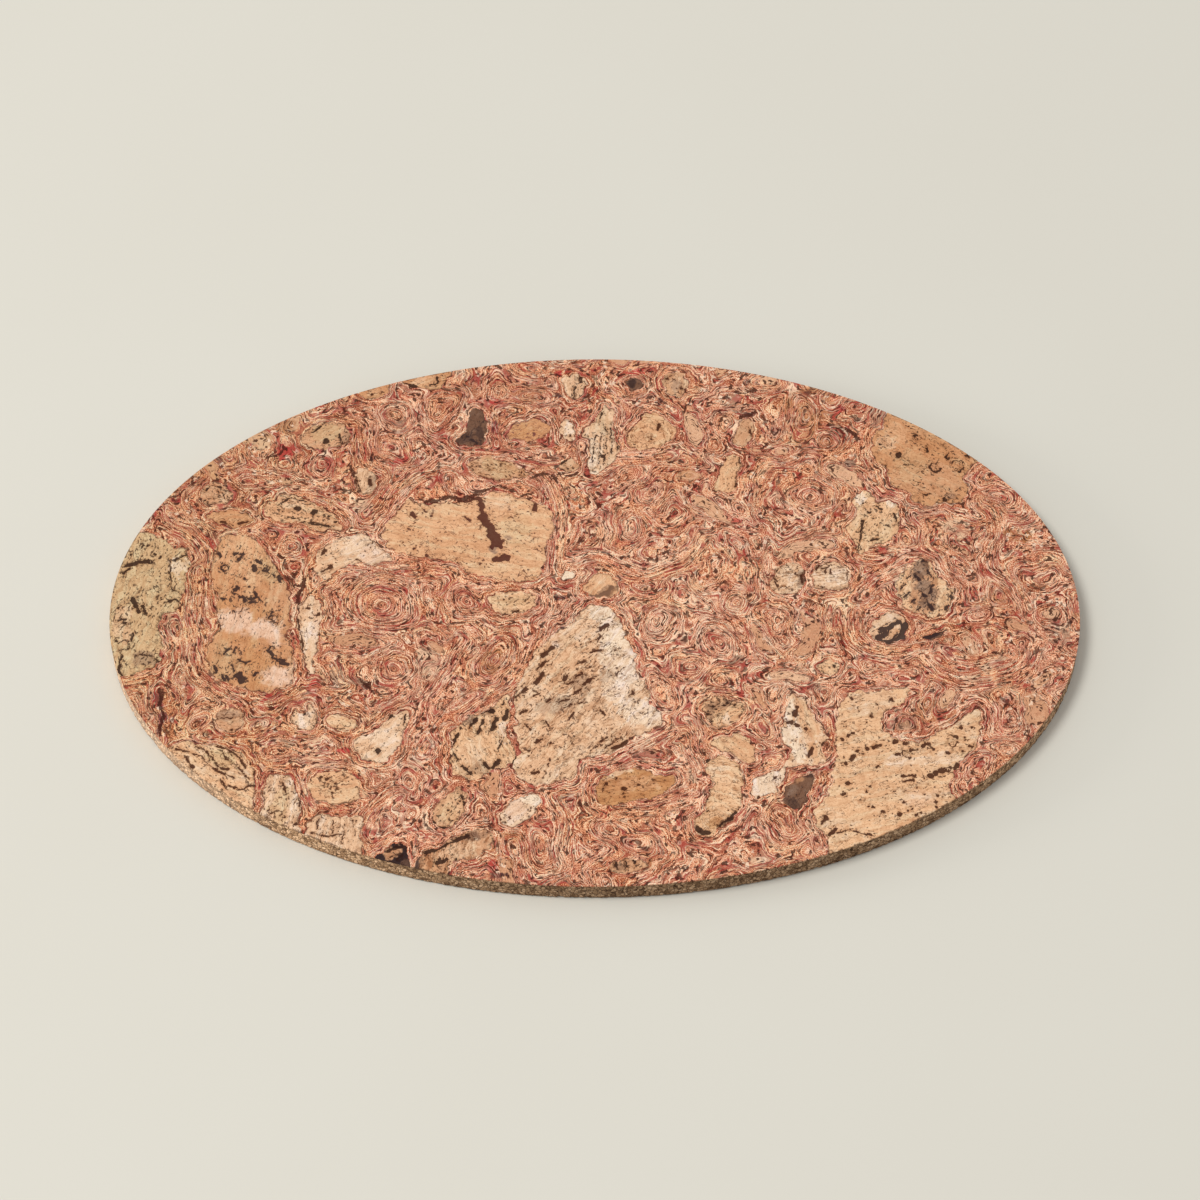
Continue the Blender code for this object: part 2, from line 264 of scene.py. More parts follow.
def smooth_noise(x, y, size, seed):
    """Smooth values between -1 and 1 whose lumps are about size mm wide.

    The place is turned by an angle that depends on the seed and divided by the size. Random values on the
    corners of the unit grid are mixed with the weight 6t^5 - 15t^4 + 10t^3 in both directions.
    """
    values = np.random.default_rng(seed).uniform(-1, 1, (NOISE_CELLS, NOISE_CELLS))
    column = (x * math.cos(seed) - y * math.sin(seed)) / size
    row = (x * math.sin(seed) + y * math.cos(seed)) / size
    left = np.floor(column).astype(int)
    lower = np.floor(row).astype(int)
    across = column - left
    up = row - lower
    across = across**3 * (across * (6 * across - 15) + 10)
    up = up**3 * (up * (6 * up - 15) + 10)
    right, upper = (left + 1) % NOISE_CELLS, (lower + 1) % NOISE_CELLS
    left, lower = left % NOISE_CELLS, lower % NOISE_CELLS
    below = values[left, lower] * (1 - across) + values[right, lower] * across
    above = values[left, upper] * (1 - across) + values[right, upper] * across
    return below * (1 - up) + above * up


def smooth_step(low, high, value):
    """Zero below low, one above high, with the smooth curve 3t^2 - 2t^3 between."""
    t = np.clip((value - low) / (high - low), 0, 1)
    return t * t * (3 - 2 * t)


def bent_places(x, y, waves):
    """The places moved by noise, so that what is drawn on them is crooked.

    A wave is a height and a length in mm, and a seed for x and one for y. Each adds height times noise.
    """
    moved_x, moved_y = x, y
    for height, length, seed_x, seed_y in waves:
        moved_x = moved_x + height * smooth_noise(x, y, length, seed_x)
        moved_y = moved_y + height * smooth_noise(x, y, length, seed_y)
    return moved_x, moved_y


test_noise = smooth_noise(np.arange(1000.0), np.zeros(1000), 7, 1)
print(f"noise from {test_noise.min():.2f} to {test_noise.max():.2f}")

# %% [markdown]
# ## Outlines of the bark
#
# Each solid of bark has a simple outline with sides of a few millimetres. A saw cut through bark is more
# ragged, so the outline is read from the solid, divided finely, rounded, and pushed in and out by noise.
# Where the die cut through a lump the outline stays on the oval.


# %% Ragged outlines
def solid_outline(node):
    """The outline of the top face of a solid, counter-clockwise, in mm.

    A side of a triangle is on the outline when no other triangle of the top face has it the other way
    round.
    """
    mesh = frame["nodes"][node].data
    corners = np.empty(3 * len(mesh.vertices))
    mesh.vertices.foreach_get("co", corners)
    corners = corners.reshape(-1, 3) / MM
    mesh.calc_loop_triangles()
    triangles = np.empty(3 * len(mesh.loop_triangles), int)
    mesh.loop_triangles.foreach_get("vertices", triangles)
    triangles = triangles.reshape(-1, 3)
    top = triangles[(corners[triangles, 2] > TOP_LEVEL - 0.1).all(axis=1)]
    spots, number = np.unique(np.round(corners[:, :2], 2), axis=0, return_inverse=True)
    sides = number.reshape(-1)[top[:, [0, 1, 1, 2, 2, 0]]].reshape(-1, 2)
    here = set(map(tuple, sides.tolist()))
    following = {a: b for a, b in here if (b, a) not in here}
    order = [next(iter(following))]
    while following[order[-1]] != order[0]:
        order.append(following[order[-1]])
    return spots[order]


def rim_share(x, y):
    """One on the oval of the mat, less inside it."""
    return np.hypot(x / HALF_LENGTH, y / HALF_WIDTH)


def along_outline(loop, step):
    """The same closed outline with points about step apart."""
    closed = np.vstack([loop, loop[:1]])
    run = np.concatenate([[0], np.cumsum(np.hypot(*np.diff(closed, axis=0).T))])
    places = np.linspace(0, run[-1], max(12, round(run[-1] / step)), endpoint=False)
    return np.column_stack([np.interp(places, run, closed[:, 0]), np.interp(places, run, closed[:, 1])])


OUTLINE_STEP = 0.5
SAW_WAVES = [(1.1, 7), (1.0, 2.6), (0.6, 1.1)]  # height and length in mm
ON_RIM = 0.9985


def ragged_outline(loop, seed):
    """The outline as the saw left it.

    Points a step apart are averaged over the three neighbours on each side, then moved along the outline's
    normal by the sum of the saw's waves. The change fades out from 3 mm to 1 mm inside the oval. Points on
    the rim go onto the oval itself, and none lies beyond it.
    """
    fine = along_outline(loop, OUTLINE_STEP)
    rounded = sum(np.roll(fine, shift, axis=0) for shift in range(-3, 4)) / 7
    ahead = np.roll(rounded, -2, axis=0) - np.roll(rounded, 2, axis=0)
    normal = np.column_stack([ahead[:, 1], -ahead[:, 0]]) / np.hypot(*ahead.T)[:, None]
    push = np.zeros(len(fine))
    for number, (height, length) in enumerate(SAW_WAVES):
        push += height * smooth_noise(*rounded.T, length, seed + number)
    share = rim_share(*fine.T)
    free = smooth_step(1.0, 3.0, (1 - share) * HALF_WIDTH)[:, None]
    moved = fine + free * (rounded + push[:, None] * normal - fine)
    on_rim = share > ON_RIM
    moved[on_rim] = fine[on_rim] / share[on_rim, None]
    inside = np.minimum(1, 1 / rim_share(*moved.T))
    return moved * inside[:, None]


bark_nodes = [node for node in frame["nodes"] if node.startswith("bark_")]
outlines = {}
for number, node in enumerate(bark_nodes):
    outlines[node] = ragged_outline(solid_outline(node), 40 + 3 * number)
print(len(outlines), "outlines,", sum(map(len, outlines.values())), "points")

# %% [markdown]
# ## Distance to an outline
#
# Two things need the distance to an outline: the mesh, whose edge is moved onto it, and the layers of
# shavings, which lie round each lump like blankets.


# %% Distance to a closed outline
def outline_distance(x, y, loop):
    """The distance from points to a closed outline, below zero inside, and the closest place on it.

    Each point is compared with every side: the foot on a side is at the share t of it, kept between 0 and
    1. A point is inside when a ray to the right crosses an odd number of sides.
    """
    start = loop
    step = np.roll(loop, -1, axis=0) - loop
    length = np.maximum((step**2).sum(axis=1), 1e-12)
    rise = np.where(np.abs(step[:, 1]) < 1e-12, 1e-12, step[:, 1])
    points = np.column_stack([np.ravel(x), np.ravel(y)])
    distance = np.empty(len(points))
    closest = np.empty((len(points), 2))
    block = max(1, 3_000_000 // len(loop))
    for first in range(0, len(points), block):
        part = points[first : first + block]
        off_x = part[:, :1] - start[:, 0]
        off_y = part[:, 1:] - start[:, 1]
        t = np.clip((off_x * step[:, 0] + off_y * step[:, 1]) / length, 0, 1)
        gap = (off_x - t * step[:, 0]) ** 2 + (off_y - t * step[:, 1]) ** 2
        best = gap.argmin(axis=1)
        rows = np.arange(len(part))
        crossed = (off_y < 0) != (off_y - step[:, 1] < 0)
        right = off_x < step[:, 0] * off_y / rise
        inside = (crossed & right).sum(axis=1) % 2 == 1
        distance[first : first + block] = np.sqrt(gap[rows, best]) * np.where(inside, -1, 1)
        closest[first : first + block] = start[best] + t[rows, best][:, None] * step[best]
    return distance.reshape(np.shape(x)), closest.reshape(*np.shape(x), 2)


sample, _ = outline_distance(np.array([-60.0]), np.array([45.0]), outlines["bark_cracked"])
print(f"the middle of the cracked slab lies {-sample[0]:.1f} mm inside its edge")

# %% [markdown]
# ## Flat plates with a free outline
#
# The sheet and the bark are plates with a curved outline. A plate could be cut with Booleans, but a height
# that changes over the face needs an even mesh. So a square grid is laid over the plate, squares whose
# middle is inside stay, and their outer corners move onto the outline. Walls go down from there and a flat
# underside closes it.


# %% Plate from a grid
def cut_grid(distance):
    """The squares of a grid that lie inside, and the sides where the plate ends.

    A square stays when the mean of the distances at its corners is below zero. Two squares that meet at a
    corner only would pinch the mesh, so one of them goes.
    """
    corner = np.arange(distance.size).reshape(distance.shape)
    a, b, c, d = corner[:-1, :-1], corner[:-1, 1:], corner[1:, 1:], corner[1:, :-1]
    level = np.ravel(distance)
    kept = (level[a] + level[b] + level[c] + level[d]) < 0
    for _ in range(4):
        low_left, low_right = kept[:-1, :-1], kept[:-1, 1:]
        top_left, top_right = kept[1:, :-1], kept[1:, 1:]
        rising = low_left & top_right & ~low_right & ~top_left
        falling = low_right & top_left & ~low_left & ~top_right
        kept[1:, 1:] &= ~rising
        kept[1:, :-1] &= ~falling
    wide = np.pad(kept, 1)
    sides = []
    for start, end, beyond in (
        (a, b, wide[:-2, 1:-1]),
        (b, c, wide[1:-1, 2:]),
        (c, d, wide[2:, 1:-1]),
        (d, a, wide[1:-1, :-2]),
    ):
        ends = kept & ~beyond
        sides.append(np.column_stack([start[ends], end[ends]]))
    squares = np.column_stack([a[kept], b[kept], c[kept], d[kept]])
    return squares, np.vstack(sides)


def plate_outline(x, y, distance, closest):
    """Numbers the points that a plate uses and moves those at its end onto the outline."""
    squares, sides = cut_grid(distance)
    used = np.unique(squares)
    number = np.full(distance.size, -1)
    number[used] = np.arange(len(used))
    spots = np.column_stack([np.ravel(x)[used], np.ravel(y)[used]])
    ends = np.unique(sides)
    spots[number[ends]] = closest.reshape(-1, 2)[ends]
    return spots, number[squares], number[sides]


def underside(spots, sides):
    """Triangles that close the flat underside, looking down, between the plate's ends."""
    ends, place = np.unique(sides, return_inverse=True)
    result = delaunay_2d_cdt(spots[ends].tolist(), place.reshape(-1, 2).tolist(), [], 1, 1e-6)
    triangles = np.array(result[2])[:, ::-1]
    first = np.array([sources[0] if sources else -1 for sources in result[3]])
    return first[triangles], ends


SHARP_ANGLE = math.radians(40)


def write_mesh(name, points, faces):
    """A mesh from points in mm and a list of face arrays, each with its own number of corners."""
    mesh = bpy.data.meshes.new(name)
    mesh.vertices.add(len(points))
    mesh.vertices.foreach_set("co", np.ravel(points * MM))
    corners = np.concatenate([np.ravel(group) for group in faces])
    sizes = np.concatenate([np.full(len(group), group.shape[1]) for group in faces])
    mesh.loops.add(len(corners))
    mesh.loops.foreach_set("vertex_index", corners)
    mesh.polygons.add(len(sizes))
    mesh.polygons.foreach_set("loop_start", np.cumsum(sizes) - sizes)
    mesh.update(calc_edges=True)
    mesh.validate()
    mesh.shade_smooth()
    mesh.set_sharp_from_angle(angle=SHARP_ANGLE)
    return mesh


def plate_mesh(name, spots, squares, sides, height, floor_level):
    """A closed plate: the squares at their heights, walls down from the sides, and the underside."""
    cap, ends = underside(spots, sides)
    lower = np.full(len(spots), -1)
    lower[ends] = len(spots) + np.arange(len(ends))
    walls = np.column_stack([lower[sides[:, 0]], lower[sides[:, 1]], sides[:, 1], sides[:, 0]])
    top_points = np.column_stack([spots, height])
    low_points = np.column_stack([spots[ends], np.full(len(ends), floor_level)])
    points = np.vstack([top_points, low_points])
    return write_mesh(name, points, [squares, walls, len(spots) + cap]), ends


def give_values(mesh, ends, **values):
    """Stores numbers or colours on the points of a plate, the same on the lower edge as above it."""
    for name, array in values.items():
        kind, field = ("FLOAT_COLOR", "color") if array.ndim == 2 else ("FLOAT", "value")
        stored = mesh.attributes.new(name, kind, "POINT")
        stored.data.foreach_set(field, np.ravel(np.concatenate([array, array[ends]])))


slot_of = {part["node"]: part["material_slot"] for part in frame["record"]["subparts"]}


def put_in_place(name, mesh, finish, node):
    """Makes the piece that stands for a solid with the given finish: it rides on the mat's body, and the
    solid is hidden.
    """
    piece = bpy.data.objects.new(name, mesh)
    mesh.materials.append(finish)
    bpy.context.scene.collection.objects.link(piece)
    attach(piece, "root")
    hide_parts(node)


print("plate tools ready for", len(slot_of), "pieces")

# %% [markdown]
# ## The board of pressed granules
#
# Under the face is a board of cork crumbs, about one to two millimetres across, pressed and glued, then
# cut by the die. Its cut edge shows all round the mat. The board is one profile carried round the oval: a
# row of points at each height, drawn in where granules broke away.


# %% Granules
GRANULE_CUBES = 64


def granules(points, size, seed):
    """The distance from each point to its granule's middle, in sizes, and a random tone for that granule.

    Space is divided into cubes of the given size with one middle at a random place in each. The middles in
    the 27 cubes round a point are compared.
    """
    values = np.random.default_rng(seed).random((4, GRANULE_CUBES, GRANULE_CUBES, GRANULE_CUBES))
    place = points / size
    cube = np.floor(place).astype(int)
    best = np.full(len(points), 9.0)
    tone = np.zeros(len(points))
    for shift in np.ndindex(3, 3, 3):
        near = cube + np.array(shift) - 1
        column, row, layer = (near % GRANULE_CUBES).T
        middle = near + values[:3, column, row, layer].T
        gap = ((place - middle) ** 2).sum(axis=1)
        tone = np.where(gap < best, values[3, column, row, layer], tone)
        best = np.minimum(best, gap)
    return np.sqrt(best), tone


print(GRANULE_CUBES**3, "granules before they repeat")

# %% Board
AROUND = 1500
WALL_ROWS = 22
UNDER_ROWS = 24
GRANULE = 1.7
LOWER_EASE = 0.9
ease_inset, ease_height = [0.45, LOWER_EASE], [0.25, 0]
top_share = np.array([0.02, 0.6, 0.97])
wall_height = np.linspace(FACE_LEVEL, LOWER_EASE, WALL_ROWS)
under_share = np.linspace(0.985, 0.02, UNDER_ROWS)
first_under = len(top_share) + WALL_ROWS + len(ease_inset)


def board_points():
    """Rows of points from the middle of the top, down the wall, to the middle of the underside.

    A row at the share s of the oval and the inset d holds the points ((a s - d) cos t, (b s - d) sin t) at
    a height z, with a and b the half length and the half width. The wall is drawn in by 0.06 mm plus up to
    0.3 mm between granules, and by 0.5 mm more where one is missing.
    """
    turn = np.linspace(0, 2 * math.pi, AROUND, endpoint=False)
    flat = np.zeros(UNDER_ROWS)
    top_height = np.full(len(top_share), FACE_LEVEL)
    share = np.concatenate([top_share, np.ones(WALL_ROWS + len(ease_inset)), under_share])[:, None]
    inset = np.concatenate([np.zeros(len(top_share) + WALL_ROWS), ease_inset, flat])[:, None]
    height = np.concatenate([top_height, wall_height, ease_height, flat])[:, None]
    x = (HALF_LENGTH * share - inset) * np.cos(turn)
    y = (HALF_WIDTH * share - inset) * np.sin(turn)
    rows = np.stack([x, y, height + 0 * x], axis=-1)
    gap, tone = granules(rows.reshape(-1, 3), GRANULE, 5)
    drawn_in = 0.06 + 0.3 * smooth_step(0.35, 0.8, gap) + 0.5 * smooth_step(0.93, 0.96, tone)
    drawn_in = drawn_in.reshape(x.shape) * (share == 1)
    outward = np.stack([np.cos(turn) / HALF_LENGTH, np.sin(turn) / HALF_WIDTH], axis=-1)
    outward /= np.hypot(*outward.T)[:, None]
    rows[..., :2] -= drawn_in[..., None] * outward
    hollow = 0.2 * smooth_step(0.4, 0.8, gap).reshape(x.shape)
    rows[first_under:, :, 2] += hollow[first_under:]
    return rows


board_rows = board_points()
grid = np.arange(board_rows.shape[0] * AROUND).reshape(-1, AROUND)
after = np.roll(grid, -1, axis=1)
board_sides = np.stack([grid[1:], after[1:], after[:-1], grid[:-1]], axis=-1).reshape(-1, 4)
top_middle, under_middle = grid.size, grid.size + 1
top_fan = np.column_stack([np.full(AROUND, top_middle), grid[0], after[0]])
under_fan = np.column_stack([np.full(AROUND, under_middle), after[-1], grid[-1]])
board_spots = np.vstack([board_rows.reshape(-1, 3), [(0, 0, FACE_LEVEL), (0, 0, 0)]])
board_mesh = write_mesh("granule_board", board_spots, [board_sides, top_fan, under_fan])
print(len(board_mesh.polygons), "faces on the board")

# %% [markdown]
# ## Finish of the granules
#
# Each granule has its own brown, from pale straw to nearly black bark, and the glue between them is
# darker. A Voronoi texture divides space into such grains. Two sizes are mixed, because the crumbs were
# sieved and not sorted. The crumbs are painted paler towards both ends of the mat; at the left this is
# painted light from the side of the lamps. Painted shade darkens the foot of the wall.

# %% Granule finish
PAINTED_LIGHT_CRUMB = screen(226, 205, 186)
STRAW = screen(218, 182, 148)
CRUMB = screen(181, 145, 112)
BARK_CRUMB = screen(130, 100, 75)
OLD_CRUMB = screen(72, 52, 40)
PAINTED_FOOT_SHADE = (0.55, 0.48, 0.42, 1)
SMALL_GRANULE = 0.8
board_finish, board_shader, place = new_finish("pressed_granules")
bent = place.node("VectorMath", {0: place, 1: place.noise(1.8, output=1)}, operation="ADD")
large = bent.node("TexVoronoi", {"Vector": bent, "Scale": 1 / GRANULE}, output="Color")
small = bent.node("TexVoronoi", {"Vector": bent, "Scale": 1 / SMALL_GRANULE}, output="Color")
shade = large * 0.55 + small * 0.25 + place.noise(9) * 0.3
crumb_tint = shade.node(
    "ValToRGB",
    {0: shade},
    stops=[(0.22, OLD_CRUMB), (0.38, BARK_CRUMB), (0.58, CRUMB), (0.82, STRAW)],
)
seam = bent.node("TexVoronoi", {"Vector": bent, "Scale": 1 / GRANULE}, feature="DISTANCE_TO_EDGE")
crumb_tint = (1 - seam.rise(0.0, 0.1)).blend(crumb_tint, OLD_CRUMB)
x_now = place.node("SeparateXYZ", {0: place})
# painted light: the crumbs get lighter towards both ends of the mat, most at the left, on the side of the
# lamps
painted_light_by_x = 0.84 + (1 - x_now.rise(-195, 10)) * 0.80 + x_now.rise(130, 215) * 0.35
crumb_tint = crumb_tint.scaled(painted_light_by_x)
# painted light: a pale crumb colour laid over the far left end of the wall
crumb_tint = ((1 - x_now.rise(-225, -130)) * 0.35).blend(crumb_tint, PAINTED_LIGHT_CRUMB)
# painted shade: the lowest 3 mm of the wall are darkened where the wall meets the table
foot_shade = (1 - place.node("SeparateXYZ", {0: place}, output=2).rise(0.0, 3.0)) * 0.6
crumb_tint = foot_shade.blend(crumb_tint, PAINTED_FOOT_SHADE, "MULTIPLY")
plug(crumb_tint, board_shader, "Base Color")
plug(0.95 - shade * 0.25, board_shader, "Roughness")
crumb_height = seam.rise(0.0, 0.2) + small * 0.4
crumb_bump = seam.node("Bump", {"Height": crumb_height, "Strength": 0.5, "Distance": 0.0004})
plug(crumb_bump, board_shader, "Normal")
board_shader.inputs["Specular IOR Level"].default_value = 0.1
put_in_place("granule_board", board_mesh, board_finish, "core_board")
print("board finished")

# %% [markdown]
# ## How the shavings lie
#
# In the pressed block, thin layers of cork were squeezed round whatever was hard: round the lumps of bark,
# and round small balls of rolled shavings, the eyes of the swirls. Near a lump the layers follow its
# outline. Between lumps they crumple. So a single number, the depth of a layer, can be worked out for each
# place: a soft minimum of the distances to all the hard things, bent by noise.

# %% The grid of the sheet and its windows
SHEET_STEP = 0.94
SHEET_MARGIN = 2
columns = np.arange(-HALF_LENGTH - SHEET_MARGIN, HALF_LENGTH + SHEET_MARGIN, SHEET_STEP)
rows = np.arange(-HALF_WIDTH - SHEET_MARGIN, HALF_WIDTH + SHEET_MARGIN, SHEET_STEP)
sheet_x, sheet_y = np.meshgrid(columns, rows)


def oval_distance(x, y):
    """The distance to the oval, below zero inside, and the closest place on it.

    With s the share of the oval at a point, s is 1 on it, so the distance is about (s - 1) over the slope
    of s.
    """
    share = np.maximum(rim_share(x, y), 1e-6)
    slope = np.stack([x / HALF_LENGTH**2, y / HALF_WIDTH**2], axis=-1) / share[..., None]
    steep = np.linalg.norm(slope, axis=-1)
    distance = (share - 1) / steep
    closest = np.stack([x, y], axis=-1) - (distance / steep)[..., None] * slope
    return distance, closest / rim_share(closest[..., 0], closest[..., 1])[..., None]


WRAP_REACH = 20.0
sheet_distance, sheet_closest = oval_distance(sheet_x, sheet_y)
bark_gap = np.full(sheet_x.shape, WRAP_REACH)
crowding = np.full(sheet_x.shape, 9.0)
for node, loop in outlines.items():
    low, high = loop.min(axis=0) - WRAP_REACH, loop.max(axis=0) + WRAP_REACH
    part = np.ix_((rows > low[1]) & (rows < high[1]), (columns > low[0]) & (columns < high[0]))
    gap, near = outline_distance(sheet_x[part], sheet_y[part], loop)
    step = np.roll(loop, -1, axis=0)
    area = abs((loop[:, 0] * step[:, 1] - step[:, 0] * loop[:, 1]).sum()) / 2
    bark_gap[part] = np.minimum(bark_gap[part], gap)
    crowding[part] = np.minimum(crowding[part], gap / (1.5 + 0.09 * math.sqrt(area)))
    window = -gap > sheet_distance[part]
    sheet_distance[part] = np.where(window, -gap, sheet_distance[part])
    sheet_closest[part] = np.where(window[..., None], near, sheet_closest[part])
sheet_spots, sheet_squares, sheet_sides = plate_outline(sheet_x, sheet_y, sheet_distance, sheet_closest)
print(len(sheet_squares), "squares in the sheet,", len(sheet_sides), "sides")

# %% [markdown]
# ## Eyes and balls
#
# The larger eyes are placed where the mat shows them, as ovals with a half length, a half width
# and a turn. Four of them are roses, so large that their rings push everything else aside. The small balls
# of shavings between them are placed at random, a little apart from each other and from the bark.

# %% Eyes and balls of shavings
EYES = np.array([
    (68, 6, 5, 6, 0), (46, -33, 5, 6, 0), (-83, -95, 5, 6, 20), (85, -118, 8, 7, 30),
    (-141, 35, 5, 6, -20), (-128, 88, 5, 4, 0), (210, 22, 4, 4, 0), (-182, -57, 3, 4, 0),
    (33, -10, 6, 7, 10), (33, -46, 8, 9, 40), (78, -78, 5, 4, 0), (28, 70, 6, 9, -20),
    (-94, 97, 3, 2.5, 0), (-92, 116, 6, 6, 0), (-45, 133, 6, 5, 20), (178, -4, 5, 3.5, 0),
    (140, -62, 5, 4, 0), (185, 62, 9, 5, 20), (190, 12, 5, 8, 0), (112, 107, 7, 5, 0),
    (15, 47, 5, 7, 0), (-30, 127, 6, 5, 0), (22, -125, 8, 6, 0), (-25, -130, 7, 9, 30),
    (97, 118, 6, 8, 0), (-60, 8, 7, 6, 0), (12, -118, 8, 5, 0), (-70, 120, 6, 8, 10),
    (58, -20, 6, 8, 30), (62, -108, 4, 4, 0), (130, -30, 8, 5, 0), (150, 45, 8, 5, 60),
])
ROSES = np.array([
    (-99, 4, 21, 17, -15), (-46, -27, 20, 11, 52), (102.5, 68, 13, 12, 0), (-92, -32, 11, 10, 20),
])
EYE_MARGIN = 9
ROSE_MARGIN = 2
BALL_PITCH = 21.0


def oval_depth(x, y, middle_x, middle_y, half_long, half_short, turn):
    """How far outside an oval a point lies, about, in mm.

    With s the size of the place in half lengths, it is (s - 1) times the mean half length.
    """
    angle = math.radians(turn)
    along = (x - middle_x) * math.cos(angle) + (y - middle_y) * math.sin(angle)
    across = (y - middle_y) * math.cos(angle) - (x - middle_x) * math.sin(angle)
    return (np.hypot(along / half_long, across / half_short) - 1) * math.sqrt(half_long * half_short)


def scattered_balls(pitch, seed):
    """Balls of shavings on a loose net: a place, two half lengths and a turn for each.

    The net's points are pitch apart in rows that are set off by half a pitch, each moved by up to a third
    of it. Points too near to bark, to an eye or to a rose, or off the mat, are left out.
    """
    rng = np.random.default_rng(seed)
    line, turn_row = np.meshgrid(np.arange(-24, 25), np.arange(-20, 21))
    x = (line + 0.5 * (turn_row % 2)) * pitch + rng.uniform(-pitch / 3, pitch / 3, line.shape)
    y = turn_row * pitch * 0.87 + rng.uniform(-pitch / 3, pitch / 3, line.shape)
    x, y = x.ravel(), y.ravel()
    half = rng.uniform(1.2, 4.2, len(x))
    half_long = half * rng.uniform(1.3, 3.4, len(x))
    balls = np.column_stack([x, y, half_long, half, rng.uniform(0, 180, len(x))])
    column = np.clip(np.round((x - columns[0]) / SHEET_STEP).astype(int), 0, len(columns) - 1)
    row = np.clip(np.round((y - rows[0]) / SHEET_STEP).astype(int), 0, len(rows) - 1)
    free = (crowding[row, column] > 1.2) & (bark_gap[row, column] > 1.5 + half)
    free &= rim_share(x, y) < 1.02
    for eye in EYES:
        free &= oval_depth(x, y, *eye) > EYE_MARGIN + half
    for rose in ROSES:
        free &= oval_depth(x, y, *rose) > ROSE_MARGIN + half
    return balls[free]


balls = scattered_balls(BALL_PITCH, 8)
print(len(EYES), "eyes and", len(balls), "balls of shavings")


# %% Depth of the layers
EYE_WAVES = [(6.0, 24, 61, 63), (2.0, 9, 62, 64), (0.7, 4, 74, 75)]
CRUMPLING = [(0.5, 3.4, 20, 71), (0.3, 1.1, 8, 72), (0.15, 0.4, 3.6, 78)]
SOFTNESS = 2.0
DEEPEST_EYE = 20
FAR_OUTSIDE = 9.0


def layer_depth(x, y, gap):
    """The depth of the layer at each place in mm, the way inside the nearest ball, and that ball's tone.

    The soft minimum of the distances d to the bark, the eyes and the balls is -k log(sum of exp(-d / k)),
    with k the softness. Places are bent first, so that no eye or ball stays a plain oval.
    """
    place = bent_places(x, y, EYE_WAVES)
    total = np.exp(-gap / SOFTNESS)
    for eye in EYES:
        total += np.exp(-np.maximum(oval_depth(*place, *eye), -DEEPEST_EYE) / SOFTNESS)
    inside = np.full(len(x), -FAR_OUTSIDE)
    tone = np.zeros(len(x))
    for own_tone, ball in zip(np.random.default_rng(9).random(len(balls)), balls):
        away = oval_depth(*place, *ball)
        total += np.exp(-away / SOFTNESS)
        tone = np.where(-away > inside, own_tone, tone)
        inside = np.maximum(inside, -away)
    return -SOFTNESS * np.log(total), inside, tone


def pick(field, spots):
    """Reads a field of the grid at spots on the mat, blending the four grid points round each."""
    column = np.clip((spots[:, 0] - columns[0]) / SHEET_STEP, 0, len(columns) - 1.001)
    row = np.clip((spots[:, 1] - rows[0]) / SHEET_STEP, 0, len(rows) - 1.001)
    i, j = column.astype(int), row.astype(int)
    u, v = column - i, row - j
    low = field[j, i] * (1 - u) + field[j, i + 1] * u
    return low * (1 - v) + (field[j + 1, i] * (1 - u) + field[j + 1, i + 1] * u) * v


sheet_gap = np.maximum(pick(bark_gap, sheet_spots), 0)
loose = smooth_step(0.8, 2.5, pick(crowding, sheet_spots))
eye_gap = np.min([oval_depth(*sheet_spots.T, *eye) for eye in EYES], axis=0)
crumpled = loose * smooth_step(0.0, 14.0, eye_gap)
depth, ball_inside, ball_tone = layer_depth(*sheet_spots.T, sheet_gap)
for calm, wild, length, seed in CRUMPLING:
    depth += (calm + wild * crumpled) * smooth_noise(*sheet_spots.T, length, seed)
print(f"layers from {depth.min():.1f} to {depth.max():.1f} mm deep")

# %% [markdown]
# ## Streams
#
# Where the press pushed shavings past a hard place, dozens of layers run side by side in a stream. A
# stream is a half width and a path. Inside it the depth is the distance from the path, to the left or to
# the right, so that the layers run along it.

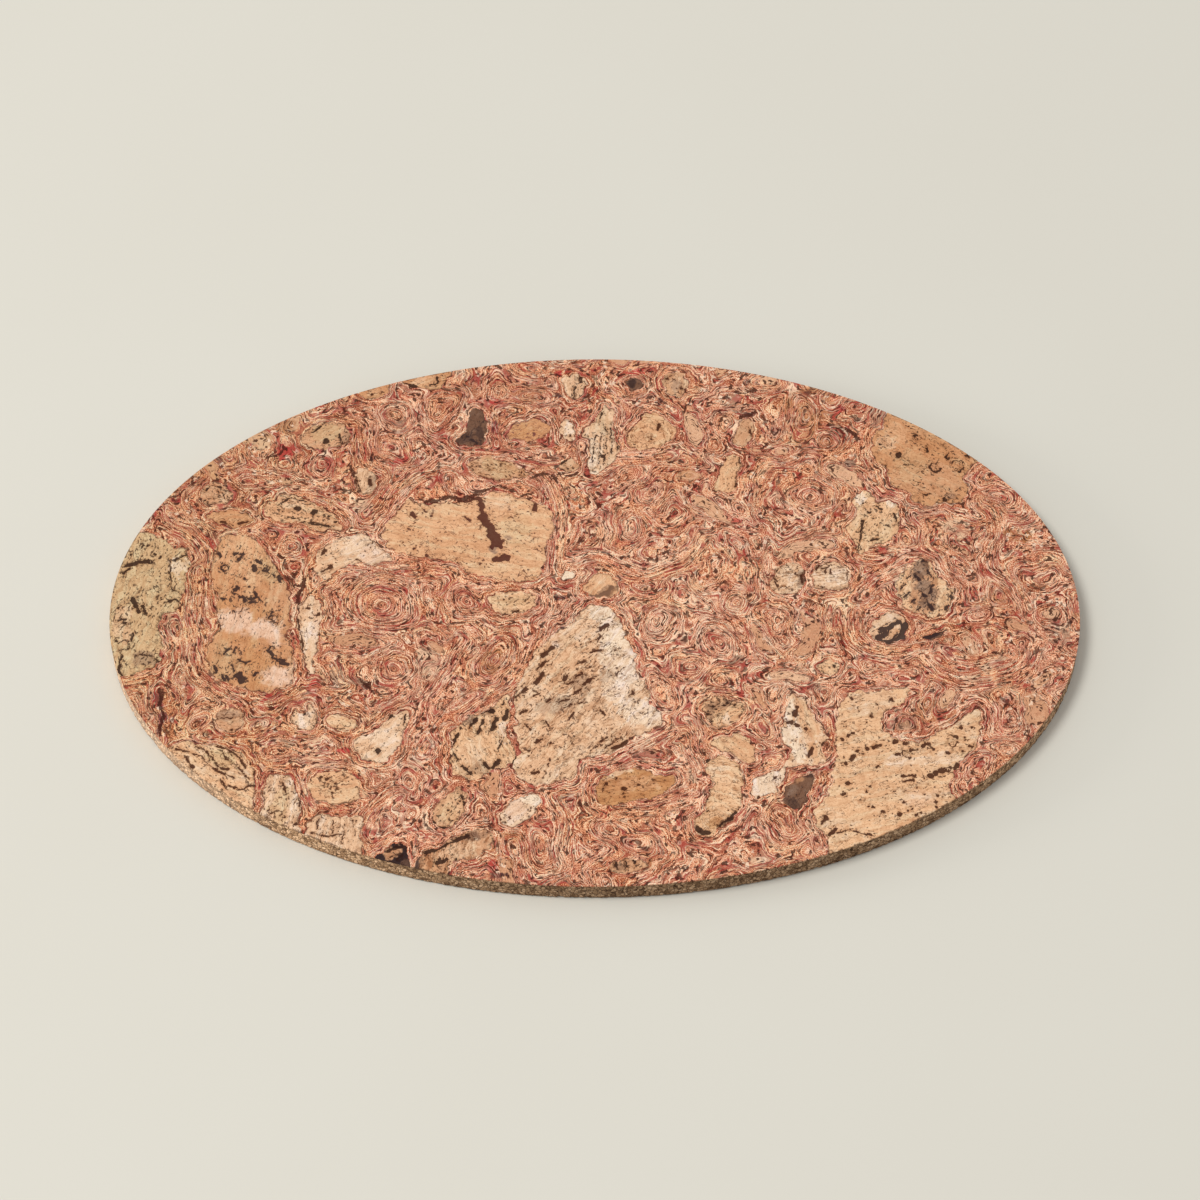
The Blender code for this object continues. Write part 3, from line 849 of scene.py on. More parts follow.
# %% Paths of the streams
STREAMS = [
    (6, (-210, 56), (-198, 50), (-188, 43), (-182, 32), (-181, 18), (-180, 5), (-178, -10)),
    (5, (-189, 30), (-187, 10), (-187, -15), (-182, -32), (-172, -43), (-156, -51)),
    (6, (-108, 48), (-100, 57), (-94, 68), (-86, 78), (-74, 87)),
    (4, (-150, 70), (-135, 68), (-122, 62), (-113, 53), (-112, 44)),
    (5, (-112, 116), (-110, 100), (-109, 90), (-103, 82), (-92, 79)),
    (3, (-126, 25), (-110, 25), (-95, 25), (-76, 24)),
    (3, (-78, -53), (-86, -68), (-88, -84)),
    (3, (-136, -88), (-131, -103), (-128, -120)),
    (5, (-84, -95), (-95, -102), (-102, -115), (-104, -132)),
    (5, (-45, 89), (-30, 83), (-21, 76), (-17, 60), (-17, 45), (-19, 30), (-20, 16)),
    (3, (-64, 93), (-45, 92), (-35, 88), (-20, 86), (-8, 89)),
    (4, (-26, 120), (-18, 106), (-18, 92)),
    (5, (-12, 29), (5, 31), (15, 24), (25, 20), (35, 25), (45, 35), (54, 48)),
    (3, (20, 64), (26, 52), (38, 47), (50, 60)),
    (3, (-6, 79), (5, 85), (15, 90), (30, 92), (44, 95)),
    (3, (72, 34), (77, 20), (76, 2)),
    (5, (-25, -4), (-31, -22), (-42, -40), (-55, -52), (-68, -60)),
    (5, (-56, -8), (-66, -28), (-75, -44), (-82, -58)),
    (4, (36, -60), (43, -66), (46, -76), (50, -86), (50, -98)),
    (4, (40, -62), (26, -72), (12, -81), (-4, -88)),
    (4, (2, -109), (20, -108), (35, -104), (48, -99)),
    (4, (-22, -102), (-14, -116), (-15, -130), (-11, -145)),
    (3, (117, 36), (130, 31), (145, 34), (158, 32)),
    (4, (119, 4), (126, 19), (140, 25), (152, 33)),
    (3, (115, 82), (118, 66), (115, 52)),
    (4, (176, 66), (190, 60), (190, 45), (183, 35), (186, 22), (195, 12), (201, -8)),
    (5, (117, 8), (116, -8), (120, -20), (131, -25), (145, -26), (162, -21)),
    (5, (147, -22), (160, -36), (172, -41), (188, -38), (200, -26), (204, -10)),
    (4, (154, -19), (164, -29), (174, -32), (186, -27), (193, -16)),
    (3, (106, -46), (120, -43), (135, -42), (153, -46)),
    (3, (107, -50), (110, -65), (109, -80), (103, -90)),
    (3, (95, -108), (102, -121), (103, -136)),
]


def rounded_path(path):
    """The path with its corners cut three times, each time a quarter of the way along the sides."""
    for _ in range(3):
        near = 0.75 * path[:-1] + 0.25 * path[1:]
        far = 0.25 * path[:-1] + 0.75 * path[1:]
        path = np.vstack([path[:1], np.stack([near, far], axis=1).reshape(-1, 2), path[-1:]])
    return path


print(len(STREAMS), "streams")


# %% Layers along the streams
def beside_path(x, y, path):
    """The distance to the left of a path, below zero on its right, the way along it, and its length."""
    step = np.diff(path, axis=0)
    length = np.hypot(*step.T)
    off_x = x[:, None] - path[:-1, 0]
    off_y = y[:, None] - path[:-1, 1]
    t = np.clip((off_x * step[:, 0] + off_y * step[:, 1]) / length**2, 0, 1)
    gap = np.hypot(off_x - t * step[:, 0], off_y - t * step[:, 1])
    best = gap.argmin(axis=1)
    rows_here = np.arange(len(x))
    left = (step[:, 0] * off_y - step[:, 1] * off_x)[rows_here, best]
    start = np.concatenate([[0], np.cumsum(length)])
    return gap[rows_here, best] * np.sign(left), start[best] + (t * length)[rows_here, best], start[-1]


STREAM_WAVES = [(1.8, 17, 65, 67), (0.5, 5, 66, 68)]
STREAM_REACH = 12
STREAM_FADE = 9


def with_streams(x, y, depth):
    """The depth with the streams laid in, and how far each place belongs to a stream, from 0 to 1.

    Inside a stream the depth is the distance beside its path plus the mean depth there. The change fades
    out over 4 mm at the sides and over 9 mm at the ends. Places are bent by noise first, so the layers
    waver.
    """
    bend_x, bend_y = bent_places(x, y, STREAM_WAVES)
    flow = np.zeros(len(x))
    for half, *path in STREAMS:
        path = rounded_path(np.array(path, float))
        low, high = path.min(axis=0) - STREAM_REACH, path.max(axis=0) + STREAM_REACH
        near = np.flatnonzero((x > low[0]) & (x < high[0]) & (y > low[1]) & (y < high[1]))
        beside, run, whole = beside_path(bend_x[near], bend_y[near], path)
        share = smooth_step(half + 3, half - 1, np.abs(beside))
        share *= smooth_step(0, STREAM_FADE, np.minimum(run, whole - run))
        level = (share * depth[near]).sum() / share.sum()
        depth[near] += share * (beside + level - depth[near])
        flow[near] = np.maximum(flow[near], share)
    return depth, flow


CALMED = 0.85
depth, flow = with_streams(*sheet_spots.T, depth)
crumpled *= 1 - CALMED * flow
ball_inside -= FAR_OUTSIDE * flow
print(f"streams cover {flow.mean() * 100:.0f} % of the sheet")

# %% [markdown]
# ## Roses
#
# A rose is a large eye whose rings lie undisturbed to the middle. It is laid in after the streams, with
# its own gentle bends, so that neither the balls nor the streams break its rings.

# %% Layers of the roses
ROSE_WAVES = [(2.0, 14, 91, 93), (0.9, 5, 92, 94)]


def with_roses(x, y, depth):
    """The depth with the roses laid in, and how far each place belongs to a rose, from 0 to 1.

    Inside a rose the depth is the distance inside its rim plus the mean depth at the rim. The change fades
    out over 6 mm at the rim. Places are bent by noise first, so that the rings are crooked.
    """
    place = bent_places(x, y, ROSE_WAVES)
    whole = np.zeros(len(x))
    for rose in ROSES:
        inside = -oval_depth(*place, *rose)
        share = smooth_step(-4.0, 2.0, inside)
        rim = share * (1 - share)
        level = (rim * depth).sum() / rim.sum()
        depth += share * (inside + level - depth)
        whole = np.maximum(whole, share)
    return depth, whole


depth, rosy = with_roses(*sheet_spots.T, depth)
crumpled *= 1 - CALMED * rosy
ball_inside -= FAR_OUTSIDE * rosy
print(len(ROSES), "roses laid into the layers")

# %% [markdown]
# ## Washes on the sheet
#
# Some places of the sheet have a colour of their own: patches of red bark dust, grey chips, amber and pale
# shavings. Each is an oval wash with a ragged edge, mixed over the layers by its strength. A wash is a
# place, two half lengths, a turn in degrees and the strength. Later washes lie over earlier ones.

# %% Washes
RED = screen(196, 72, 66)
PALE = screen(232, 190, 156)
AMBER = screen(186, 124, 80)
GREY = screen(164, 128, 106)
SOOT = screen(74, 50, 48)
PLUM = screen(120, 70, 66)
SHEET_WASHES = [
    (PLUM, [(-80, 108, 70, 34, 0, 0.2), (-188, 30, 26, 60, 0, 0.2)]),
    (AMBER, [(-46, -27, 10, 5, 52, 0.5)]),
    (RED, [
        (-148, 94, 5, 5, 0, 0.7), (115, 119, 5, 3, 30, 0.9), (68, 126, 4, 4, 60, 0.8),
        (-48, 123, 5, 2.5, 0, 0.8), (135, 35, 3, 2, 0, 0.9), (-8, -81, 2, 3, 0, 0.9),
        (-114, -77, 3, 2, 0, 0.9), (-128, -43, 3, 4, 0, 0.8), (-150, -48, 3, 3, 0, 0.8),
        (-46, -139, 4, 3, 0, 0.7), (-90, 90, 6, 2, 30, 0.6), (-17, 141, 2, 2, 0, 0.8),
        (20, 142, 7, 2, 10, 0.7), (66, 55, 3, 6, 20, 0.6), (66, -43, 2, 5, 20, 0.8),
        (70, -38, 6, 3, 20, 0.5), (-98, 2, 5, 3, 0, 0.5), (-125, 86, 5, 4, 0, 0.6),
        (185, -65, 6, 6, 0, 0.4), (24, -82, 6, 5, 0, 0.4), (22, -23, 2, 5, 0, 0.6),
        (-157, 41, 3, 2, 0, 0.6), (-72, -70, 2, 4, 0, 0.6), (78, -80, 3, 3, 0, 0.5),
    ]),
    (PALE, [
        (-75, -30, 5, 10, 10, 0.7), (44, -92, 3, 3, 60, 0.8), (-82, -86, 4, 4, 0, 0.8),
        (-125, -81, 6, 4, 0, 0.7), (-128, -72, 4, 2, 0, 0.6), (-158, 99, 5, 4, 30, 0.7),
        (-152, -62, 5, 6, 20, 0.5), (172, 48, 6, 5, 0, 0.6), (70, 18, 5, 4, 0, 0.4),
        (-115, 17, 8, 2, 10, 0.5), (-195, -8, 4, 6, 0, 0.5), (-109, 60, 6, 4, 0, 0.7),
        (183, -28.5, 9, 3, 30, 0.8), (177, -37.5, 9, 1.4, 8, 0.7), (178, -21, 6, 3, -10, 0.5),
        (48, -62, 7, 3, 0, 0.5), (96, -36, 3, 5, 20, 0.7), (82, 68, 5, 4, 0, 0.5), (94, 112, 5, 4, 0, 0.5),
        (53, 90, 4, 6, 30, 0.6), (74, -136, 4, 5, 0, 0.6),
    ]),
    (AMBER, [
        (200, 44, 10, 7, 20, 0.8), (102, 101, 10, 12, 0, 0.5), (103, 122, 12, 8, 0, 0.5),
        (-34, 132, 8, 8, 0, 0.3), (20, -136, 9, 5, 0, 0.4), (-36, -128, 9, 9, 0, 0.35),
        (-62, 128, 9, 9, 0, 0.35), (175, 35, 6, 9, 0, 0.4), (188, 10, 6, 9, 0, 0.4),
        (152, -57, 10, 9, 0, 0.4), (45, 75, 6, 9, 0, 0.4), (-150, 108, 8, 6, 30, 0.4),
    ]),
    (GREY, [
        (-95, 108, 6, 5, 0, 0.6), (137, 116, 6, 5, 30, 0.8), (121, 86, 4, 3, 0, 0.8),
        (68, 122, 6, 6, 0, 0.5), (66, -29, 5, 3, 0, 0.7), (-118, -38, 4, 7, 0, 0.6),
        (-109, -40, 4, 3, 0, 0.7), (140, -64, 9, 6, 20, 0.5), (216, -12, 6, 9, 0, 0.55),
        (-11, -104, 3, 5, 0, 0.7), (154, 57, 6, 5, 30, 0.6), (118, 106, 3, 5, 30, 0.6),
        (23, -78, 6, 6, 0, 0.4), (-140, -73, 3, 2, 0, 0.7), (107, 45, 5, 3, 0, 0.5),
    ]),
    (SOOT, [
        (-17.5, 128, 2.5, 2.5, 20, 1), (-4, 126.5, 2, 2, 0, 0.9), (-159.5, 60, 2, 1.8, 0, 1),
        (75, 116, 3, 2, 20, 1), (73, 136, 1.5, 3, 20, 0.8), (-15, 8, 4, 1.6, 10, 0.8),
        (-16, 13.5, 3, 1.2, 0, 0.7), (22, -130.5, 2.5, 1.2, 0, 1), (-42, -144.5, 4, 1.2, 0, 0.9),
        (-64, -143, 4, 1, 0, 0.8), (-14.5, -8, 2, 1.2, 20, 0.9), (-105, -42, 2.5, 2, 30, 0.8),
        (-178, 88, 1.6, 3, 20, 0.9), (-197, 66, 1.2, 3, 20, 0.9), (-106, 90, 1.2, 2, 0, 0.9),
        (101, -42, 3, 3, 0, 0.6), (48, -78, 3, 2, 0, 0.7), (31, 124, 1.2, 3, -20, 0.8),
        (122, 106, 1.6, 4, 30, 0.7), (102, 128, 1.5, 2.5, -20, 0.8), (18, 39, 1.6, 1.4, 0, 0.9),
        (5, 34.5, 4, 1.2, -15, 0.7), (-94, 134.5, 3, 1.2, -20, 0.9), (-7, 146, 3, 1.8, 0, 0.8),
        (-56, 138, 1.2, 4, 0, 0.6), (214, -8, 1.2, 1.8, 0, 0.9), (221, -5, 0.8, 2, -20, 0.8),
    ]),
    (PLUM, [
        (-199.5, -50, 1.8, 5, 10, 1), (-197, -59, 1.6, 6, -8, 1), (-198.5, -66, 1.4, 4, 5, 1),
        (-48, 108, 2.5, 4, 0, 0.7), (-10, 100, 3, 5, 0, 0.4), (-151, 47, 6, 1.5, 0, 0.7),
    ]),
]


def washed(x, y, washes, seed, soft=0.5):
    """A colour and a strength for each place, from a list of oval washes.

    A wash covers what lies inside its oval. Noise as wide as the wash and 2.5 and 1.1 mm wide moves the
    edge, by more for a larger wash, so that it breaks up into patches and flecks. The edge fades out over
    soft mm to each side.
    """
    ragged = 1.1 * smooth_noise(x, y, 2.5, seed) + 0.9 * smooth_noise(x, y, 1.1, seed + 1)
    tint = np.zeros((len(x), 4))
    for colour, middle_x, middle_y, half_long, half_short, turn, strength in washes:
        reach = 1.6 * max(half_long, half_short) + 4
        near = np.flatnonzero((np.abs(x - middle_x) < reach) & (np.abs(y - middle_y) < reach))
        half = math.sqrt(half_long * half_short)
        away = oval_depth(x[near], y[near], middle_x, middle_y, half_long, half_short, turn)
        away += ragged[near] * min(1.5, 0.3 + 0.25 * half)
        away += 0.5 * half * smooth_noise(x[near], y[near], 1.3 * half, seed + 2)
        cover = strength * smooth_step(soft, -soft, away)[:, None]
        tint[near] = tint[near] * (1 - cover) + cover * np.array([*colour[:3], 1])
    return tint


sheet_washes = [(colour, *oval) for colour, ovals in SHEET_WASHES for oval in ovals]
wash = washed(*sheet_spots.T, sheet_washes, 81)
wash_strength = wash[:, 3].copy()
wash[:, :3] /= np.maximum(wash_strength, 0.001)[:, None]
print(f"washes cover {wash_strength.mean() * 100:.0f} % of the sheet")

# %% [markdown]
# ## Dark strokes
#
# A few dark veins of old bark run through the sheet, and every piece of bark has marks that its breathing
# pores and cracks left. Both are drawn in the same way: a mark is a width in mm and the points of its
# path.


# %% Distance to marks
def mark_distance(x, y, marks, rings, seed):
    """The distance to the nearest mark, below zero inside one.

    Places are first moved by noise so that edges are ragged. A mark is everything within half its width of
    its path, and noise makes it up to 0.6 times wider or narrower. A ring is what lies within about 0.3 mm
    of a bent circle.
    """
    moved_x, moved_y = bent_places(x, y, [(0.45, 1.6, seed, seed + 2), (0.3, 0.8, seed + 1, seed + 3)])
    wide = 1.05 + 0.6 * smooth_noise(x, y, 2.4, seed + 4)
    best = np.full(len(x), 5.0)
    for width, *path in marks:
        for (from_x, from_y), (to_x, to_y) in zip(path, path[1:] or path):
            step_x, step_y = to_x - from_x, to_y - from_y
            run = max(step_x**2 + step_y**2, 1e-9)
            off_x, off_y = moved_x - from_x, moved_y - from_y
            t = np.clip((off_x * step_x + off_y * step_y) / run, 0, 1)
            away = np.hypot(off_x - t * step_x, off_y - t * step_y)
            best = np.minimum(best, away - wide * width / 2)
    for middle_x, middle_y, radius in rings:
        out = np.hypot(moved_x - middle_x, moved_y - middle_y) - radius * (1.3 * wide - 0.3)
        best = np.minimum(best, np.abs(out) - 0.6 * wide + 0.3)
    return best


STROKES = [
    (1.8, (-80, 64), (-74, 64.5), (-71, 66.5), (-66, 66), (-63, 64.5), (-59, 67), (-56, 69), (-54, 66)),
    (1.4, (-56, 69.5), (-50, 71), (-46, 73.5), (-41, 71), (-37, 69.5)),
    (1.5, (-37, 66), (-33, 64), (-30, 66)),
    (1.3, (-31, 77.5), (-26, 80), (-20, 79.5), (-18, 76)),
    (1.4, (-17, 80.5), (-12, 79), (-8, 81)),
    (1.6, (-138, 5), (-137.5, 10), (-136, 14), (-135.5, 19)),
    (1.6, (-200, -43), (-198, -47), (-199, -52), (-196.5, -58), (-198, -64), (-198, -69)),
    (1.3, (-106.5, 87), (-106, 93)),
    (1.4, (67, 130), (71, 129), (77, 131)),
    (2.0, (70, 114.5), (74, 115.5), (77, 117.5)),
    (1.5, (120, 108), (123, 105), (126, 101)),
    (1.4, (-86, 94), (-82, 97), (-78, 99)),
    (1.2, (-113, 79), (-113.5, 74), (-111.5, 70)),
    (1.3, (-156, 90), (-150, 92), (-147, 96)),
    (1.6, (-108, -38), (-104, -42), (-101, -46)),
    (1.5, (-116, 85), (-114, 79), (-112, 75)),
]
stroke = mark_distance(*sheet_spots.T, STROKES, (), 91)
print(f"{(stroke < 0).mean() * 100:.1f} % of the sheet is dark vein")

# %% [markdown]
# ## The sheet
#
# The sheet is sanded flat and sealed, so its relief is only a few hundredths of a millimetre. The points
# of the mesh carry the depth of the layers and the other numbers that the finish needs.

# %% Sheet
sheet_height = TOP_LEVEL - 0.03 + 0.02 * smooth_noise(*sheet_spots.T, 2.5, 73)
sheet_height -= 0.06 * smooth_step(0.8, 0.0, sheet_gap)
sheet_mesh, sheet_ends = plate_mesh(
    "swirl_sheet_layers", sheet_spots, sheet_squares, sheet_sides, sheet_height, FACE_LEVEL
)
gap = np.minimum(sheet_gap, 3.0)
give_values(sheet_mesh, sheet_ends, depth=depth, loose=crumpled, stroke=stroke, gap=gap)
give_values(sheet_mesh, sheet_ends, inside=ball_inside, tone=ball_tone, wash=wash, covered=wash_strength)
print(len(sheet_mesh.polygons), "faces on the sheet")

# %% [markdown]
# ## Bands and lines of the sheet
#
# Noise that changes quickly with the depth and slowly along the mat gives bands that follow the layers.
# Three widths of band, about 3, 1 and 0.5 mm, are added up, and the sum runs through a ramp from dark
# red-brown to cream. Where another such noise passes its middle value there is a thin line, and where it
# is very high a short dash. Where the shavings are crumpled, single cells of a bent Voronoi net make
# crumbs of bark.

# %% Bands of the sheet
FLAT = dict(noise_dimensions="2D")
SHEET_RAMP = [
    (0.00, screen(146, 76, 50)),
    (0.20, screen(207, 129, 95)),
    (0.40, screen(230, 159, 124)),
    (0.56, screen(239, 174, 138)),
    (0.72, screen(247, 189, 151)),
    (0.88, screen(253, 206, 169)),
    (1.00, screen(255, 225, 193)),
]
REDDER = (1.0, 0.76, 0.70, 1)
BROWNER = (0.95, 0.88, 0.72, 1)
sheet_finish, sheet_shader, place = new_finish("swirled_shavings")
dust = place.noise(0.9, detail=1, **FLAT)
ripple = (place.noise(5.5, **FLAT) - 0.5) * 1.8 + (place.noise(1.7, **FLAT) - 0.5) * 0.9
layer = place.attribute("depth") + ripple * (0.35 + place.attribute("loose") * 0.65)
x_now = place.node("SeparateXYZ", {0: place})
y_now = place.node("SeparateXYZ", {0: place}, output=1)


def layered(across, along, shift):
    """Noise that changes quickly from layer to layer and slowly along them."""
    vector = layer.node("CombineXYZ", {0: layer * across + shift, 1: x_now * along, 2: y_now * along})
    return vector.noise(1, detail=0.0)


busy = 0.6 + place.noise(30, **FLAT).rise(0.35, 0.65) * 0.5
fine_bands = (layered(2.2, 0.09, 3.0).rise(0.38, 0.62) - 0.5) * 0.68
bands = fine_bands + (layered(1.1, 0.04, 23.0) - 0.5) * 0.34
grit = place.noise(0.5, detail=0, **FLAT)
middle = (1 - abs(x_now - 40).rise(25, 80)) * (1 - abs(y_now + 20).rise(40, 90))
right = x_now.rise(-60, 40) * (1 - x_now.rise(110, 170)) * (1 - y_now.rise(40, 100))
bands = 0.5 + middle * 0.08 + right * 0.06 + bands * busy
bands = bands + (layered(0.3, 0.03, 41.0) - 0.5) * 0.5 + (dust - 0.5) * 0.8 + (grit - 0.5) * 1.7
tint = bands.node("ValToRGB", {0: bands}, stops=SHEET_RAMP)
redder = layered(0.8, 0.05, 61.0).rise(0.46, 0.68)
tint = (redder * 0.40).blend(tint, REDDER, "MULTIPLY")
browner = layered(0.16, 0.03, 83.0).rise(0.44, 0.64)
tint = (browner * 0.55).blend(tint, BROWNER, "MULTIPLY")
print("bands of the sheet drawn")

# %% Chips and washes of the sheet
CHIP_RAMP = [
    (0.50, screen(224, 172, 136)),
    (0.70, screen(238, 192, 155)),
    (0.82, screen(221, 165, 126)),
    (0.94, screen(214, 159, 123)),
]
CHIP_SHADE = (0.74, 0.62, 0.54, 1)
tone = place.attribute("tone")
inside = place.attribute("inside") + (dust - 0.5) * 2.4 + (place.noise(2.2, **FLAT) - 0.5) * 2.0
chosen = tone.rise(0.48, 0.50)
chip_tint = tone.node("ValToRGB", {0: tone}, stops=CHIP_RAMP)
chip_tint = (dust.rise(0.42, 0.68) * 0.6).blend(chip_tint, CHIP_SHADE, "MULTIPLY")
chip = inside.rise(-0.1, 0.25) * chosen * place.attribute("gap").rise(0.8, 1.8)
tint = (chip * 0.85).blend(tint, chip_tint)
broken = layered(1.1, 0.08, 17.0).rise(0.40, 0.56)
covered = (place.attribute("covered") - (1 - broken) * 0.4).rise(0.0, 0.8)
tint = covered.blend(tint, place.attribute("wash", "Color"))
print(len(CHIP_RAMP), "tints of chip")


# %% Lines and crumbs of the sheet
LINE_RED = screen(164, 58, 52)
LINE_BROWN = screen(66, 33, 24)
RUST = screen(158, 82, 64)
LINE_CREAM = screen(252, 220, 192)
YELLOWER = (0.90, 0.93, 0.82, 1)


def patches(size, low, high):
    """A soft mask of patches of the given size in mm."""
    return place.noise(size, **FLAT).rise(low, high)


def thin_line(across, along, shift, width):
    """One along thin lines that follow the layers, where their noise passes its middle value."""
    return 1 - abs(layered(across, along, shift) - 0.5).rise(0.3 * width, width)


yellow_side = 1 - x_now.rise(-190, -70)
tint = (yellow_side * 0.8).blend(tint, YELLOWER, "MULTIPLY")
open_side = 1 - chip * 0.8
cream_line = thin_line(1.0, 0.04, 91.0, 0.08) * patches(9, 0.44, 0.60) * open_side * 0.52
tint = cream_line.blend(tint, LINE_CREAM)
rust_line = thin_line(1.6, 0.07, 53.0, 0.11) * patches(10, 0.36, 0.56) * open_side * 0.70
tint = rust_line.blend(tint, RUST)
red_line = thin_line(1.05, 0.04, 11.0, 0.08) * patches(9, 0.40, 0.58) * open_side * 0.82
tint = red_line.blend(tint, LINE_RED)
dark_line = thin_line(1.4, 0.08, 71.0, 0.07) * patches(3.5, 0.43, 0.54) * open_side
dash = layered(1.5, 0.36, 31.0).rise(0.61, 0.64) * patches(6, 0.36, 0.50)
vein = 1 - (place.attribute("stroke") + (dust - 0.5) * 1.2).rise(-0.15, 0.2)
chip_edge = (1 - abs(inside).rise(0.1, 0.4)) * chosen * patches(3, 0.45, 0.60)
seam = (1 - (place.attribute("gap") + (dust - 0.5) * 1.2).rise(0.2, 0.7)) * patches(5, 0.40, 0.56)
CRUMB_SIZE = 1.5
bend = place.noise(1.3, output=1).scaled(2.5)
bent = place.node("VectorMath", {0: place, 1: bend}, operation="ADD")
crumb_net = {"Vector": bent, "Scale": 1 / CRUMB_SIZE}
crumbs = bent.node("TexVoronoi", crumb_net, output="Color", voronoi_dimensions="2D")
chance = crumbs.node("SeparateColor", {0: crumbs})
free = 0.3 + place.attribute("loose") * 0.7
crumb = chance.rise(0.94, 0.95) * patches(10, 0.40, 0.54) * free
pale_crumb = (1 - chance).rise(0.94, 0.95) * patches(12, 0.42, 0.56) * free
tint = (pale_crumb * 0.75).blend(tint, LINE_CREAM)
dark = dash.larger(vein).larger(crumb).larger(dark_line * 0.85)
dark = dark.larger(chip_edge * 0.8).larger(seam * 0.7)
tint = (dark * 0.9).blend(tint, LINE_BROWN)
plug(tint, sheet_shader, "Base Color")
plug(0.5 + dark * 0.2 + dust * 0.15, sheet_shader, "Roughness")
relief = 1 - dark + bands * 0.3
sheet_relief = dark.node("Bump", {"Height": relief, "Strength": 0.35, "Distance": 0.0002})
plug(sheet_relief, sheet_shader, "Normal")
sheet_shader.inputs["Specular IOR Level"].default_value = 0.12
put_in_place("swirl_sheet_layers", sheet_mesh, sheet_finish, "swirl_sheet")
print("sheet finished")

# %% [markdown]
# ## The bark: colours and marks
#
# No two lumps are alike. Each one has a main tint, and a stain for its marks. Washes and marks are written
# as on the sheet, with the tint of a wash in front. A ring is a pore with a pale middle: a place and a
# radius. Growth lines run at an angle, or round a centre, and two numbers say how strong the lines and how
# many the small pores are.

# %% Tints of bark
WHITE = screen(254, 229, 201)
CREAM = screen(243, 200, 163)
PEACH = screen(236, 183, 141)
SAND = screen(243, 195, 153)
TAN = screen(219, 166, 128)
HONEY = screen(216, 157, 114)
RESIN = screen(207, 147, 100)
OLIVE = screen(218, 180, 137)
BLUSH = screen(243, 201, 172)
SMOKE = screen(152, 124, 106)
UMBER = screen(126, 92, 73)
CHAR = screen(58, 43, 43)
PORE_BROWN = screen(72, 37, 24)
PORE_BLACK = screen(54, 32, 26)
MAROON = screen(86, 45, 38)
BARK = {}


def bark_look(name, tint, stain, **details):
    """Keeps the look of one piece: its tint, the stain of its marks, then its lines, pores and washes."""
    BARK["bark_" + name] = dict(tint=tint, stain=stain, **details)


print("tints of bark ready")

# %% Bark at the left end
bark_look(
    "left_rim", OLIVE, PORE_BLACK, angle=75, lines=0.35, pores=0.42,
    washes=[
        (SMOKE, -206, -26, 6, 4, 0, 0.5), (WHITE, -196, 25, 7, 5, 0, 0.5),
        (CREAM, -219, -8, 4, 10, 0, 0.5),
    ],
    marks=[
        (2.0, (-219, 26.5), (-214, 28.5), (-208, 29)), (1.1, (-220, 22), (-217, 25)), (1.5, (-217, 33)),
        (1.3, (-212, 38)), (1.1, (-209.5, 38)), (1.0, (-211, 41)), (1.2, (-206, 33)),
        (1.5, (-203.5, 31.5)), (2.1, (-215, 7), (-213, 3), (-211, 0)), (1.6, (-210, 3), (-208, -1)),
        (1.1, (-206, 2)), (1.3, (-221, 2)), (1.0, (-221, -5), (-217, -4)), (0.8, (-219, -6), (-216, -7)),
        (1.0, (-218, -25), (-219, -33), (-217, -36)), (1.1, (-203.5, 13)), (1.3, (-212, 11)),
        (1.0, (-204, 8)), (1.0, (-201.5, 7)), (0.8, (-201, -3)),
        (0.7, (-199, 29), (-198, 20), (-197, 13), (-193, 11)), (0.8, (-200, 5), (-195, 7), (-191, 4)),
        (0.8, (-213, -12), (-214, -17)), (0.8, (-210, -24), (-204, -25), (-200, -29)),
        (1.0, (-196, 30), (-191, 33)),
    ],
    rings=[(-217.5, -19.5, 2.6)],
)
